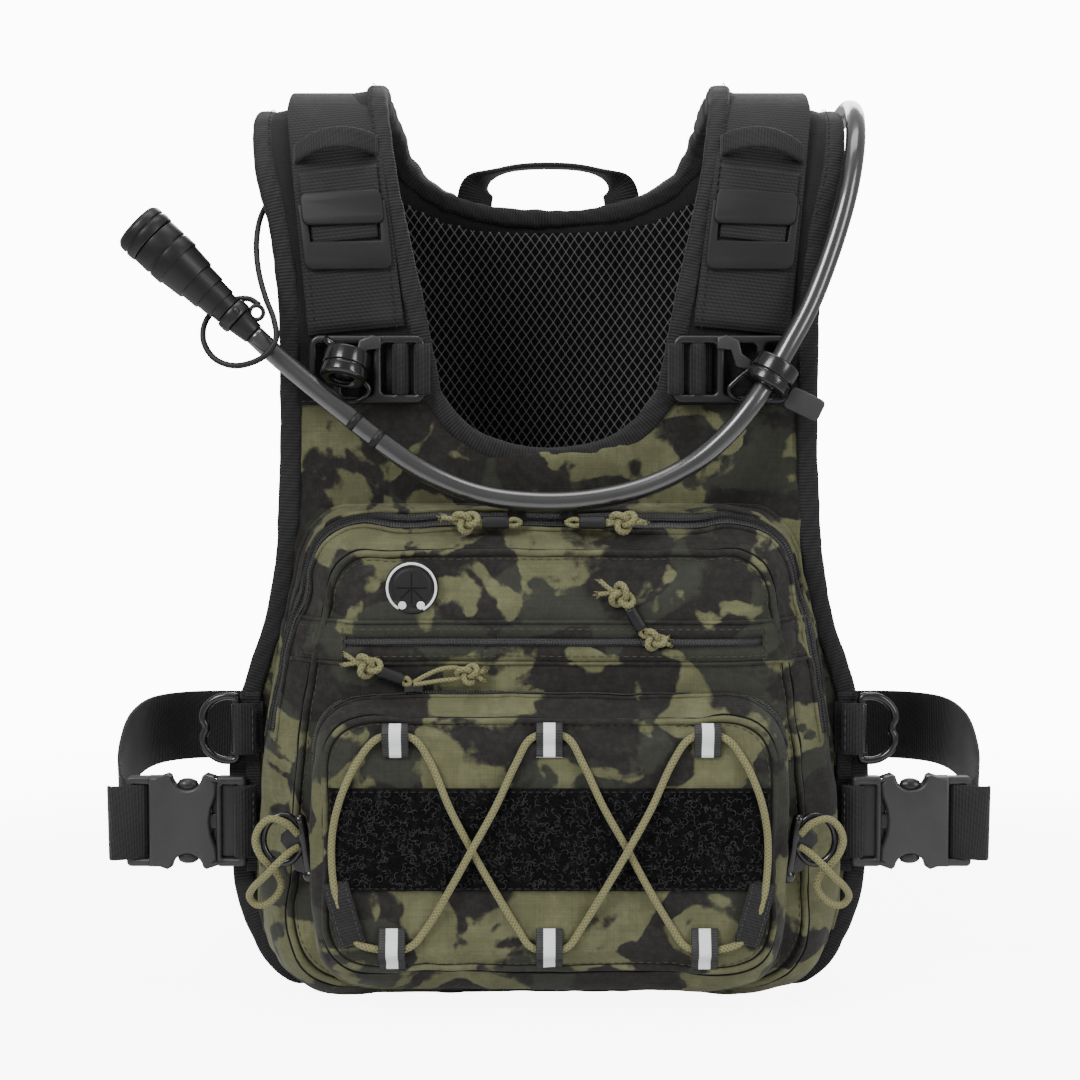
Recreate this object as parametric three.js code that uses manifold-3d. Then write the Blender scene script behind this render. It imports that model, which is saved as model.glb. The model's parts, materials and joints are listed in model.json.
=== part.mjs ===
// A chest-pack fishing vest: front panel with pockets, padded shoulders, back panel with a
// water bladder, side straps with side-release buckles, and a drinking hose with a bite valve.
// Millimetres. X is to the right as the front is seen, the front faces -Y, Z is up.
import * as THREE from 'three';
import { mergeVertices } from 'three/addons/utils/BufferGeometryUtils.js';
import Module from 'manifold-3d';

const wasm = await Module();
wasm.setup();

// ---------------------------------------------------------------- driving dimensions
const GAP = 0.3; // clearance between pieces that touch
const SEAT = 0.4; // clearance under a piece that follows a curved surface

// body
const FRONT_FACE = -33; // place of the front panel's outer face
const FRONT_THICK = 5;
const TORSO_DEPTH = 109; // clear depth between the front panel and the back lining
const LINING_THICK = 3;
const BACK_THICK = 8;
const BACK_POCKET_DEPTH = 19;
const BACK_POCKET_WALL = 2;
const BLADDER_CLEARANCE = 1;
const BLADDER = { half: 84, high: 352 };
const BACK_POCKET = { half: 98, low: 8, high: 374, seam: 10 };
const PANEL_TOP = 300; // seam between the front panel and the shoulder pads
const NECK_LOW = 272; // lowest point of the front neckline
const BACK_TOP = 424; // seam between the back panel and the shoulder pads
const BACK_NECK_LOW = 399;

// shoulder pads
const PAD_THICK = 9;
const PAD_STEPS = 26;
const WEBBING_WIDTH = 46;
const WEBBING_THICK = 2;
const WEBBING_SEAT = 0.6; // clearance between the webbing and the crowned pad
const ARCH_RISE = 13;
const ARCH_WIDTH = 11;
const ARCH_SPAN = 42;
const PLATE_WIDTH = 44;
const PLATE_BAR = 13;
const PLATE_ARM = 4.6;
const PLATE_THICK = 2.5;
const PLATE_LOW = 363;
const PLATE_HIGH = 396;
const FLAP_HIGH = 414;

// shoulder buckles and hose clips
const CLIP_BUCKLE = { inner: 62, outer: 120, low: 297, high: 330, thick: 4, rim: 5 };
const HOSE_D = 10;
const CLIP_OD = 23;
const CLIP_LENGTH = 14;
const CLIP_BORE_CLEARANCE = 0.6;

// pockets on the front
const MAIN_DEPTH = 45;
const MAIN_TOP = 246;
const MAIN_HALF = 148;
const SMALL_DEPTH = 24;
const SMALL_BASE = 9;
const SMALL_TOP = 156;
const SMALL_HALF = 116;
const ZIP_THICK = 1.4;
const FIELD = { half: 107, low: 62, high: 113, thick: 2.2 };

// lace on the small pocket
const LACE_D = 3.6;
const LOOP_WIDTH = 13.5;
const LOOP_THICK = 1.5;
const UPPER_LOOP_X = [-74, 0, 76];
const LOWER_LOOP_X = [-76, 0, 75];
const UPPER_LOOP_Z = 138.5;
const LOWER_LOOP_Z = 33.5;

// side straps, rings and buckles
const STRAP_WIDTH = 38;
const STRAP_THICK = 1.6;
const BUCKLE_Z = 85;
const BUCKLE_OUT = 8; // how far the buckle's middle stands in front of the front panel
const BUCKLE_HEIGHT = 46;
const BUCKLE_THICK = 10;
const MOUTH_X = 167.3;
const FEMALE_END_X = 202;
const LADDER_X = 214;
const ANCHOR_BAR_X = 155.6;
const ANCHOR_BAR = 3.2;
const ANCHOR_SLOT = 4.6;
const DRING_WIRE = 3.6;
const DRING_BAR_X = 158.5;
const DRING_LOW = 115.5;
const DRING_HIGH = 148.5;

// hydration
const VALVE_BASE = new THREE.Vector3(-146, -58, 331);
const VALVE_AXIS = new THREE.Vector3(-0.73, 0, 0.683).normalize();
const TETHER_D = 3;
const CORD_D = 3.6;

// ---------------------------------------------------------------- places worked out from them
const frontRear = FRONT_FACE + FRONT_THICK;
const liningFace = frontRear + TORSO_DEPTH;
const backFace = liningFace + LINING_THICK + GAP;
const backRear = backFace + BACK_THICK;
const backPocketFace = backRear + GAP;
const mainBase = FRONT_FACE - GAP;
const mainFace = mainBase - MAIN_DEPTH;
const smallBase = mainFace - GAP;
const smallFace = smallBase - SMALL_DEPTH;
const buckleY = FRONT_FACE - BUCKLE_OUT;
const dringY = FRONT_FACE - 6;

// ---------------------------------------------------------------- materials
const look = (color, roughness, metalness = 0) =>
  new THREE.MeshStandardMaterial({ color, roughness, metalness });
const camo = () => look(0x4d4f38, 0.85);
const fabric = () => look(0x1c1c1d, 0.9);
const webbing = () => look(0x202021, 0.8);
const plastic = () => look(0x333436, 0.5);
const rubber = () => look(0x18181a, 0.45);
const cordGreen = () => look(0x8a8a55, 0.8);
const film = () => look(0x9fb4bd, 0.3);

// ---------------------------------------------------------------- small tools
const v3 = (p) => new THREE.Vector3(p[0], p[1], p[2]);

/** Position-only, welded and outward-facing copy of a closed geometry. */
function closed(geometry) {
  const bare = geometry.clone();
  bare.deleteAttribute('normal');
  bare.deleteAttribute('uv');
  const welded = mergeVertices(bare, 1e-4);
  const place = welded.attributes.position;
  const index = welded.index.array;
  const a = new THREE.Vector3();
  const b = new THREE.Vector3();
  const c = new THREE.Vector3();
  let volume = 0;
  for (let i = 0; i < index.length; i += 3) {
    a.fromBufferAttribute(place, index[i]);
    b.fromBufferAttribute(place, index[i + 1]);
    c.fromBufferAttribute(place, index[i + 2]);
    volume += a.dot(b.cross(c)) / 6;
  }
  if (volume < 0) {
    for (let i = 0; i < index.length; i += 3) {
      const swap = index[i];
      index[i] = index[i + 1];
      index[i + 1] = swap;
    }
  }
  return welded;
}

function solid(geometry) {
  const g = closed(geometry);
  return new wasm.Manifold(new wasm.Mesh({
    numProp: 3,
    vertProperties: new Float32Array(g.attributes.position.array),
    triVerts: new Uint32Array(g.index.array),
  }));
}

function fromSolid(manifold) {
  const mesh = manifold.getMesh();
  const g = new THREE.BufferGeometry();
  g.setAttribute('position', new THREE.BufferAttribute(new Float32Array(mesh.vertProperties), 3));
  g.setIndex(Array.from(mesh.triVerts));
  return g;
}

function union(...pieces) {
  return fromSolid(pieces.map(solid).reduce((sum, piece) => sum.add(piece)));
}

function cut(body, ...tools) {
  return fromSolid(tools.map(solid).reduce((rest, tool) => rest.subtract(tool), solid(body)));
}

/** Box between two corners. */
function block(x0, x1, y0, y1, z0, z1) {
  const g = new THREE.BoxGeometry(Math.abs(x1 - x0), Math.abs(y1 - y0), Math.abs(z1 - z0));
  g.translate((x0 + x1) / 2, (y0 + y1) / 2, (z0 + z1) / 2);
  return g;
}

/** Box of unit size whose points, given as shares u, v, w of its sides, are placed by `place`. */
function mapped(nu, nv, nw, place) {
  const g = new THREE.BoxGeometry(1, 1, 1, nu, nv, nw);
  const at = g.attributes.position;
  for (let i = 0; i < at.count; i++) {
    const p = place(at.getX(i) + 0.5, at.getY(i) + 0.5, at.getZ(i) + 0.5);
    at.setXYZ(i, p.x, p.y, p.z);
  }
  return g;
}

/** Flat strap along points; `across` is one width direction or one for each point. */
function strip(points, across, width, thick, steps) {
  const centre = new THREE.CatmullRomCurve3(points.map(v3));
  const sides = Array.isArray(across[0]) ? across : points.map(() => across);
  const side = new THREE.CatmullRomCurve3(sides.map(v3));
  return mapped(steps, 1, 1, (u, v, w) => {
    const tangent = centre.getTangent(u);
    const wide = side.getPoint(u);
    wide.addScaledVector(tangent, -wide.dot(tangent)).normalize();
    const normal = new THREE.Vector3().crossVectors(tangent, wide);
    return centre.getPoint(u)
      .addScaledVector(wide, (v - 0.5) * width)
      .addScaledVector(normal, (w - 0.5) * thick);
  });
}

/** Plate of an outline drawn in X and Z, between two depths. */
function plate(shape, yFront, yRear, curveSegments = 6) {
  const g = new THREE.ExtrudeGeometry(shape, {
    depth: yRear - yFront, bevelEnabled: false, curveSegments,
  });
  g.rotateX(Math.PI / 2);
  g.translate(0, yRear, 0);
  return g;
}

/** Round wire closed on itself along a closed curve. */
function ring(points, radius, steps, sides = 6) {
  const curve = new THREE.CatmullRomCurve3(points.map(v3), true, 'centripetal');
  const g = new THREE.TorusGeometry(1, 0.2, sides, steps);
  const frames = curve.computeFrenetFrames(steps, true);
  const at = g.attributes.position;
  for (let j = 0; j <= sides; j++) {
    for (let i = 0; i <= steps; i++) {
      const angle = (j / sides) * Math.PI * 2;
      const k = i % steps;
      const p = curve.getPointAt(k / steps)
        .addScaledVector(frames.normals[k], Math.cos(angle) * radius)
        .addScaledVector(frames.binormals[k], Math.sin(angle) * radius);
      at.setXYZ(j * (steps + 1) + i, p.x, p.y, p.z);
    }
  }
  return g;
}

/** Round cord with flat ends along an open curve. */
function cord(points, diameter, steps, sides = 8) {
  const section = new THREE.Shape();
  for (let i = 0; i < sides; i++) {
    const angle = (i / sides) * Math.PI * 2;
    const x = Math.cos(angle) * diameter / 2;
    const y = Math.sin(angle) * diameter / 2;
    if (i === 0) section.moveTo(x, y);
    else section.lineTo(x, y);
  }
  section.closePath();
  const path = new THREE.CatmullRomCurve3(points.map(v3), false, 'centripetal');
  return new THREE.ExtrudeGeometry(section, { steps, extrudePath: path, bevelEnabled: false });
}

/** Turned piece: profile of [distance along the axis, radius], from a base point along an axis. */
function turned(profile, base, axis, segments = 20) {
  const points = profile.map(([along, radius]) => new THREE.Vector2(radius, along));
  const g = new THREE.LatheGeometry(points, segments);
  g.applyQuaternion(new THREE.Quaternion().setFromUnitVectors(new THREE.Vector3(0, 1, 0), axis));
  g.translate(base.x, base.y, base.z);
  return g;
}

const vest = new THREE.Group();

function add(name, geometry, material) {
  const mesh = new THREE.Mesh(closed(geometry), material);
  mesh.name = name;
  vest.add(mesh);
}

/** Adds a piece drawn on the +X side twice: as drawn on the right, and mirrored on the left. */
function addPair(name, geometry, material) {
  add(`right_${name}`, geometry, material());
  add(`left_${name}`, geometry.clone().scale(-1, 1, 1), material());
}

// ---------------------------------------------------------------- front panel
function frontOutline() {
  const s = new THREE.Shape();
  const half = [[112, 0], [150, 24], [160, 56], [161, 118], [145, 180], [136, 236], [134, 300]];
  s.moveTo(-half[0][0], 0);
  s.lineTo(half[0][0], 0);
  s.quadraticCurveTo(142, 0, half[1][0], half[1][1]);
  s.quadraticCurveTo(158, 38, half[2][0], half[2][1]);
  s.quadraticCurveTo(163, 88, half[3][0], half[3][1]);
  s.quadraticCurveTo(157, 150, half[4][0], half[4][1]);
  s.quadraticCurveTo(137, 208, half[5][0], half[5][1]);
  s.lineTo(134, PANEL_TOP - GAP);
  s.lineTo(56, PANEL_TOP - GAP);
  s.bezierCurveTo(48, 284, 30, NECK_LOW, 0, NECK_LOW);
  s.bezierCurveTo(-30, NECK_LOW, -48, 284, -56, PANEL_TOP - GAP);
  s.lineTo(-134, PANEL_TOP - GAP);
  s.lineTo(-half[5][0], half[5][1]);
  s.quadraticCurveTo(-137, 208, -half[4][0], half[4][1]);
  s.quadraticCurveTo(-157, 150, -half[3][0], half[3][1]);
  s.quadraticCurveTo(-163, 88, -half[2][0], half[2][1]);
  s.quadraticCurveTo(-158, 38, -half[1][0], half[1][1]);
  s.quadraticCurveTo(-142, 0, -half[0][0], 0);
  return s;
}

// ---------------------------------------------------------------- back panel
/** Outline of the back, pulled in by `inset` from its edges and starting at `low`. */
function backOutline(inset, low, top) {
  const s = new THREE.Shape();
  const k = inset;
  s.moveTo(-104, low);
  s.lineTo(104, low);
  s.quadraticCurveTo(132 - k, low, 136 - k, low + 40);
  s.quadraticCurveTo(142 - k, 118, 128 - k, 180);
  s.quadraticCurveTo(112 - k, 238, 118 - k, 300);
  s.quadraticCurveTo(124 - k, 370, 141 - k, top);
  s.lineTo(76 + k, top);
  s.bezierCurveTo(56 + k, top - 20, 32, BACK_NECK_LOW - k, 0, BACK_NECK_LOW - k);
  s.bezierCurveTo(-32, BACK_NECK_LOW - k, -56 - k, top - 20, -76 - k, top);
  s.lineTo(-141 + k, top);
  s.quadraticCurveTo(-124 + k, 370, -118 + k, 300);
  s.quadraticCurveTo(-112 + k, 238, -128 + k, 180);
  s.quadraticCurveTo(-142 + k, 118, -136 + k, low + 40);
  s.quadraticCurveTo(-132 + k, low, -104, low);
  return s;
}

function roundedRect(x0, x1, z0, z1, r) {
  const s = new THREE.Shape();
  s.moveTo(x0 + r, z0);
  s.lineTo(x1 - r, z0);
  s.quadraticCurveTo(x1, z0, x1, z0 + r);
  s.lineTo(x1, z1 - r);
  s.quadraticCurveTo(x1, z1, x1 - r, z1);
  s.lineTo(x0 + r, z1);
  s.quadraticCurveTo(x0, z1, x0, z1 - r);
  s.lineTo(x0, z0 + r);
  s.quadraticCurveTo(x0, z0, x0 + r, z0);
  return s;
}

function backPocket() {
  const rear = backPocketFace + BACK_POCKET_DEPTH;
  const outside = levels(roundedRect(-BACK_POCKET.half, BACK_POCKET.half,
    BACK_POCKET.low, BACK_POCKET.high, 22).getPoints(4), [
    { y: backPocketFace, sx: 1, low: 0, high: 0 },
    { y: backPocketFace + BACK_POCKET_DEPTH * 0.6, sx: 0.985, low: 2, high: 0 },
    { y: rear, sx: 0.93, low: 8, high: 0 },
  ], BACK_POCKET);
  const wall = BACK_POCKET_WALL;
  const room = block(-BLADDER.half - 3, BLADDER.half + 3, backPocketFace + wall, rear - wall,
    BACK_POCKET.low + BACK_POCKET.seam, BACK_POCKET.high + 1);
  return cut(outside, room);
}

function bladder() {
  const front = backPocketFace + BACK_POCKET_WALL + BLADDER_CLEARANCE;
  const rear = backPocketFace + BACK_POCKET_DEPTH - BACK_POCKET_WALL - BLADDER_CLEARANCE;
  const low = BACK_POCKET.low + BACK_POCKET.seam + GAP;
  const middle = (front + rear) / 2;
  return levels(roundedRect(-BLADDER.half, BLADDER.half, low, BLADDER.high, 26).getPoints(4), [
    { y: front, sx: 0.96, low: 4, high: -4 },
    { y: middle, sx: 1, low: 0, high: 0 },
    { y: rear, sx: 0.96, low: 4, high: -4 },
  ], { half: BLADDER.half, low, high: BLADDER.high });
}

/**
 * Body through an outline in X and Z at several depths. At each depth the outline is narrowed by
 * the share sx, and its lowest and highest points move by low and high.
 */
function levels(outline, steps, span) {
  const shape = new THREE.Shape(outline);
  const g = new THREE.ExtrudeGeometry(shape, {
    steps: steps.length - 1, depth: steps.length - 1, bevelEnabled: false,
  });
  const at = g.attributes.position;
  for (let i = 0; i < at.count; i++) {
    const step = steps[Math.round(at.getZ(i))];
    const p = levelPoint(at.getX(i), at.getY(i), step, span);
    at.setXYZ(i, p.x, p.y, p.z);
  }
  return g;
}

function levelPoint(x, z, step, span) {
  const share = (z - span.low) / (span.high - span.low);
  const low = span.low + step.low;
  const high = span.high + step.high;
  return new THREE.Vector3(x * step.sx, step.y, low + share * (high - low));
}

/** Band on a pocket's gusset over the outline points i0 to i1, between two shares of a step. */
function gussetBand(outline, near, far, from, to, i0, i1, span, thick) {
  const count = outline.length;
  const n = i1 - i0;
  return mapped(n, 1, 1, (u, v, w) => {
    const i = (i0 + Math.round(u * n)) % count;
    const p = outline[i];
    const before = outline[(i + count - 1) % count];
    const after = outline[(i + 1) % count];
    const a = new THREE.Vector2(p.x - before.x, p.y - before.y).normalize();
    const b = new THREE.Vector2(after.x - p.x, after.y - p.y).normalize();
    const along = a.add(b).normalize();
    const share = from + (to - from) * v;
    const point = levelPoint(p.x, p.y, near, span).lerp(levelPoint(p.x, p.y, far, span), share);
    const lift = SEAT + w * thick;
    return new THREE.Vector3(point.x + along.y * lift, point.y, point.z - along.x * lift);
  });
}

// ---------------------------------------------------------------- pockets on the front
const MAIN_SPAN = { low: 0, high: MAIN_TOP };
const MAIN_STEPS = [
  { y: mainBase, sx: 1, low: 0, high: 0 },
  { y: mainBase - MAIN_DEPTH * 0.33, sx: 0.985, low: 0, high: -4 },
  { y: mainBase - MAIN_DEPTH * 0.62, sx: 0.955, low: 1, high: -9.5 },
  { y: mainBase - MAIN_DEPTH * 0.86, sx: 0.915, low: 4, high: -14.5 },
  { y: mainFace, sx: 0.865, low: 10, high: -20 },
];

function mainOutline() {
  const s = new THREE.Shape();
  s.moveTo(-114, 0);
  s.lineTo(114, 0);
  s.quadraticCurveTo(MAIN_HALF - 1, 2, MAIN_HALF, 44);
  s.quadraticCurveTo(MAIN_HALF - 2, 150, MAIN_HALF - 20, MAIN_TOP - 32);
  s.quadraticCurveTo(MAIN_HALF - 24, MAIN_TOP, 98, MAIN_TOP);
  s.lineTo(-98, MAIN_TOP);
  s.quadraticCurveTo(-MAIN_HALF + 24, MAIN_TOP, -MAIN_HALF + 20, MAIN_TOP - 32);
  s.quadraticCurveTo(-MAIN_HALF + 2, 150, -MAIN_HALF, 44);
  s.quadraticCurveTo(-MAIN_HALF + 1, 2, -114, 0);
  const points = s.getPoints(6);
  points.pop();
  return points;
}

const SMALL_SPAN = { low: SMALL_BASE, high: SMALL_TOP };
const SMALL_STEPS = [
  { y: smallBase, sx: 1, low: 0, high: 0 },
  { y: smallBase - SMALL_DEPTH * 0.4, sx: 0.99, low: 1.5, high: -1.5 },
  { y: smallBase - SMALL_DEPTH * 0.75, sx: 0.975, low: 5.5, high: -4.5 },
  { y: smallFace, sx: 0.94, low: 14, high: -10 },
];

function smallOutline() {
  const points = roundedRect(-SMALL_HALF, SMALL_HALF, SMALL_BASE, SMALL_TOP, 30).getPoints(6);
  points.pop();
  return points;
}

function nearestIndex(outline, x, z) {
  let best = 0;
  outline.forEach((p, i) => {
    if (Math.hypot(p.x - x, p.y - z) < Math.hypot(outline[best].x - x, outline[best].y - z)) {
      best = i;
    }
  });
  return best;
}

function addPockets() {
  const main = mainOutline();
  add('main_pocket', levels(main, MAIN_STEPS, MAIN_SPAN), camo());
  const mainFrom = nearestIndex(main, MAIN_HALF - 3, 130);
  const mainTo = nearestIndex(main, -MAIN_HALF + 3, 130);
  add('main_zip', gussetBand(main, MAIN_STEPS[1], MAIN_STEPS[2], 0.1, 0.9, mainFrom, mainTo,
    MAIN_SPAN, ZIP_THICK), rubber());

  const small = smallOutline();
  add('small_pocket', levels(small, SMALL_STEPS, SMALL_SPAN), camo());
  const smallFrom = nearestIndex(small, SMALL_HALF, SMALL_TOP - 30);
  const smallTo = nearestIndex(small, -SMALL_HALF, SMALL_TOP - 30);
  add('small_zip', gussetBand(small, SMALL_STEPS[0], SMALL_STEPS[1], 0.15, 0.85, smallFrom, smallTo,
    SMALL_SPAN, ZIP_THICK), rubber());

  const zipFront = mainFace - GAP - ZIP_THICK;
  add('middle_zip', block(-100, 106, zipFront, mainFace - GAP, 176, 186), rubber());

  const fieldFront = smallFace - GAP - FIELD.thick;
  add('loop_field', block(-FIELD.half, FIELD.half, fieldFront, smallFace - GAP,
    FIELD.low, FIELD.high), fabric());

  const portProfile = [[0, 0], [0, 13], [1.6, 13], [2.6, 11.4], [2.6, 9.6], [1.4, 9.2], [1.4, 0]];
  add('cable_port', turned(portProfile, new THREE.Vector3(-67, mainFace - GAP, 207.5),
    new THREE.Vector3(0, -1, 0), 24), rubber());
}

// ---------------------------------------------------------------- lace and its loops
const laceRest = smallFace - GAP - LACE_D / 2; // lace lying on the pocket
const laceField = smallFace - 2 * GAP - FIELD.thick - LACE_D / 2 - 0.2; // lace lying on the field
const laceEdge = (laceRest + laceField) / 2; // lace just off the field's edge
const laceOver = laceField - LACE_D - GAP; // lace crossing over the other strand

/** Band of loops for the lace on one flat tape; `toward` is +1 where the tape is above them. */
function laceLoops(places, z, toward) {
  const bandY = smallFace - GAP - LOOP_THICK / 2;
  const crest = laceRest - LACE_D / 2 - 0.35 - LOOP_THICK / 2;
  const loops = places.map((x) => strip([
    [x, bandY, z + toward * 7.6],
    [x, bandY - 1.2, z + toward * 3.8],
    [x, crest, z],
    [x, crest + 1.7, z - toward * 5],
    [x, bandY, z - toward * 9.5],
  ], [1, 0, 0], LOOP_WIDTH, LOOP_THICK, 8));
  const tape = block(places[0] - LOOP_WIDTH / 2, places[2] + LOOP_WIDTH / 2,
    smallFace - GAP - 1.2, smallFace - GAP, z + toward * 3.6, z + toward * 7.4);
  return union(tape, ...loops);
}

/** Lace route as a closed loop, clockwise from the left tab; the two strands cross twice. */
const LACE_ROUTE = [
  [-98, laceEdge, 44], [-102, laceField, 57], [-104.5, laceField, 72], [-104.5, laceField, 90],
  [-100, laceField, 109], [-92, laceField, 126], [-83, laceRest, 136.6],
  [-74, laceRest, UPPER_LOOP_Z], [-65, laceRest, 136.6], [-57, laceField, 125],
  [-48, laceField, 104], [-37.5, laceField, 83.5], [-26, laceField, 63], [-15, laceEdge, 44],
  [-9, laceRest, 35.6], [0, laceRest, LOWER_LOOP_Z], [9, laceRest, 35.6], [15, laceEdge, 44],
  [26, laceField - 1, 63], [37.5, laceOver, 83.5], [49, laceField - 1, 104],
  [59, laceField, 125], [67, laceRest, 136.6], [76, laceRest, UPPER_LOOP_Z],
  [85, laceRest, 136.6], [93.5, laceField, 126], [101, laceField, 109],
  [105, laceField, 90], [105, laceField, 72], [102.5, laceField, 57], [98, laceEdge, 44],
  [91, laceRest, 37], [84, laceRest, 34.6], [75, laceRest, LOWER_LOOP_Z], [66, laceRest, 35.6],
  [59, laceEdge, 45], [48, laceField, 64], [37.5, laceField, 83.5], [26, laceField, 104],
  [16, laceField, 125], [9, laceRest, 136.6], [0, laceRest, UPPER_LOOP_Z],
  [-9, laceRest, 136.6], [-16, laceField, 125], [-26, laceField - 1, 104],
  [-37.5, laceOver, 83.5], [-48, laceField - 1, 64], [-59, laceEdge, 45], [-67, laceRest, 35.6],
  [-76, laceRest, LOWER_LOOP_Z], [-85, laceRest, 34.6], [-92, laceRest, 37],
];

function laceTab(side) {
  const tab = new THREE.BoxGeometry(13, LACE_D + 2.2, 31, 1, 1, 1);
  tab.rotateY(side * 0.2);
  tab.translate(side * 98.6, smallFace - GAP - LACE_D / 2 - 1.1, 52);
  return tab;
}

function addLace() {
  add('upper_lace_loops', laceLoops(UPPER_LOOP_X, UPPER_LOOP_Z, 1), webbing());
  add('lower_lace_loops', laceLoops(LOWER_LOOP_X, LOWER_LOOP_Z, -1), webbing());
  const tabs = [-1, 1].map((side) => cut(laceTab(side),
    block(-200, 200, fieldEdge(), smallFace + 5, FIELD.low - GAP, 200)));
  add('lace_cord', union(ring(LACE_ROUTE, LACE_D / 2, 112, 6), ...tabs), cordGreen());
}

/** Depth of the field's front face with its clearance. */
function fieldEdge() {
  return smallFace - 2 * GAP - FIELD.thick;
}

// ---------------------------------------------------------------- shoulder pads
const padMiddle = (FRONT_FACE + frontRear) / 2;
const padBack = (backFace + backRear) / 2;
// each station: depth, height, inner edge, outer edge, and how much lower the outer edge is
const PAD_STATIONS = [
  [padMiddle, PANEL_TOP, 56, 134, 0],
  [padMiddle, 345, 64.5, 134.5, 0],
  [padMiddle + 2.5, 385, 73, 139, 2],
  [padMiddle + 10.5, 420, 80, 147, 7],
  [padMiddle + 28, 446, 84, 150, 13],
  [24, 457, 86, 151, 15],
  [49, 454, 85, 150, 13],
  [padBack - 13, 445, 82, 147, 8],
  [padBack - 2.5, 434, 78.5, 143.5, 3],
  [padBack, BACK_TOP + 1.6, 76, 141, 0],
];
const padPath = new THREE.CatmullRomCurve3(
  PAD_STATIONS.map(([y, z]) => new THREE.Vector3(0, y, z)), false, 'centripetal');
const padEdges = new THREE.CatmullRomCurve3(
  PAD_STATIONS.map(([, , inner, outer, drop]) => new THREE.Vector3(inner, outer, drop)),
  false, 'centripetal');

/** Point over the right shoulder pad: t along it, x across it, lift out of its middle surface. */
function padPoint(t, x, lift) {
  const p = padPath.getPoint(t);
  const tangent = padPath.getTangent(t);
  const edges = padEdges.getPoint(t);
  const share = (x - edges.x) / (edges.y - edges.x);
  return new THREE.Vector3(x, p.y - tangent.z * lift, p.z + tangent.y * lift - edges.z * share);
}

/** Place along the pad, on its front half, where its middle surface has the given height. */
function padAt(z) {
  let low = 0;
  let high = 0.5;
  for (let i = 0; i < 30; i++) {
    const middle = (low + high) / 2;
    if (padPath.getPoint(middle).z < z) low = middle;
    else high = middle;
  }
  return low;
}

/** Middle line of the webbing on the pad. */
function webbingX(t) {
  const share = Math.min(1, t / 0.45);
  return 93.5 + (112 - 93.5) * share;
}

const webbingTopLift = PAD_THICK / 2 + WEBBING_SEAT + WEBBING_THICK;
const fittingLift = webbingTopLift + SEAT;

function onPad(z0, z1, x0, x1, lift0, lift1, steps) {
  const t0 = padAt(z0);
  const t1 = padAt(z1);
  return mapped(steps, 1, 1, (u, v, w) => {
    const t = t0 + (t1 - t0) * u;
    const shift = webbingX(t);
    return padPoint(t, shift + x0 + (x1 - x0) * v, lift0 + (lift1 - lift0) * w);
  });
}

function shoulderWebbing() {
  const first = Math.ceil(padAt(CLIP_BUCKLE.high + 2) * PAD_STEPS);
  const last = PAD_STEPS - 1;
  const n = last - first;
  const band = mapped(n, 1, 1, (u, v, w) => {
    const t = (first + u * n) / PAD_STEPS;
    const x = webbingX(t) + (v - 0.5) * WEBBING_WIDTH;
    return padPoint(t, x, PAD_THICK / 2 + WEBBING_SEAT + w * WEBBING_THICK);
  });
  const archAt = padAt(425);
  const tangent = padPath.getTangent(archAt);
  const arch = [];
  for (let i = 0; i <= 8; i++) {
    const share = i / 8;
    const x = webbingX(archAt) + (share - 0.5) * ARCH_SPAN;
    const lift = webbingTopLift + ARCH_RISE * Math.sin(Math.PI * share);
    const p = padPoint(archAt, x, lift);
    arch.push([p.x, p.y, p.z]);
  }
  const archBand = strip(arch, [tangent.x, tangent.y, tangent.z], ARCH_WIDTH, 1.8, 16);
  const crossRear = padMiddle - PAD_THICK / 2 - WEBBING_SEAT;
  const cross = block(CLIP_BUCKLE.inner - 3, CLIP_BUCKLE.outer + 3,
    crossRear - WEBBING_THICK, crossRear, 304, 324);
  const bandLow = padPath.getPoint(first / PAD_STEPS).z;
  const link = block(82, 106, crossRear - WEBBING_THICK, crossRear, 320, bandLow + 3);
  return union(band, archBand, cross, link);
}

function strapPlate() {
  const half = PLATE_WIDTH / 2;
  const top = fittingLift + PLATE_THICK;
  const bar = onPad(PLATE_LOW, PLATE_LOW + PLATE_BAR, -half, half, fittingLift, top, 2);
  const arms = [[-half, -half + PLATE_ARM], [half - PLATE_ARM, half]].map(([x0, x1]) =>
    onPad(PLATE_LOW + PLATE_BAR - 1, PLATE_HIGH, x0, x1, fittingLift, top, 4));
  return union(bar, ...arms);
}

function strapFlap() {
  const half = PLATE_WIDTH / 2 - PLATE_ARM - GAP;
  return onPad(PLATE_LOW + PLATE_BAR + GAP, FLAP_HIGH, -half, half,
    fittingLift, fittingLift + PLATE_THICK, 5);
}

const clipBuckleRear = padMiddle - PAD_THICK / 2 - WEBBING_SEAT - WEBBING_THICK - GAP;

function shoulderBuckle() {
  const b = CLIP_BUCKLE;
  const frame = block(b.inner, b.outer, clipBuckleRear - b.thick, clipBuckleRear, b.low, b.high);
  const windows = [[65, 71.5], [74.5, 82], [86.5, 103], [108, 116.5]].map(([x0, x1]) =>
    block(x0, x1, clipBuckleRear - 10, clipBuckleRear + 5, b.low + b.rim, b.high - b.rim));
  return cut(frame, ...windows);
}

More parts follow.
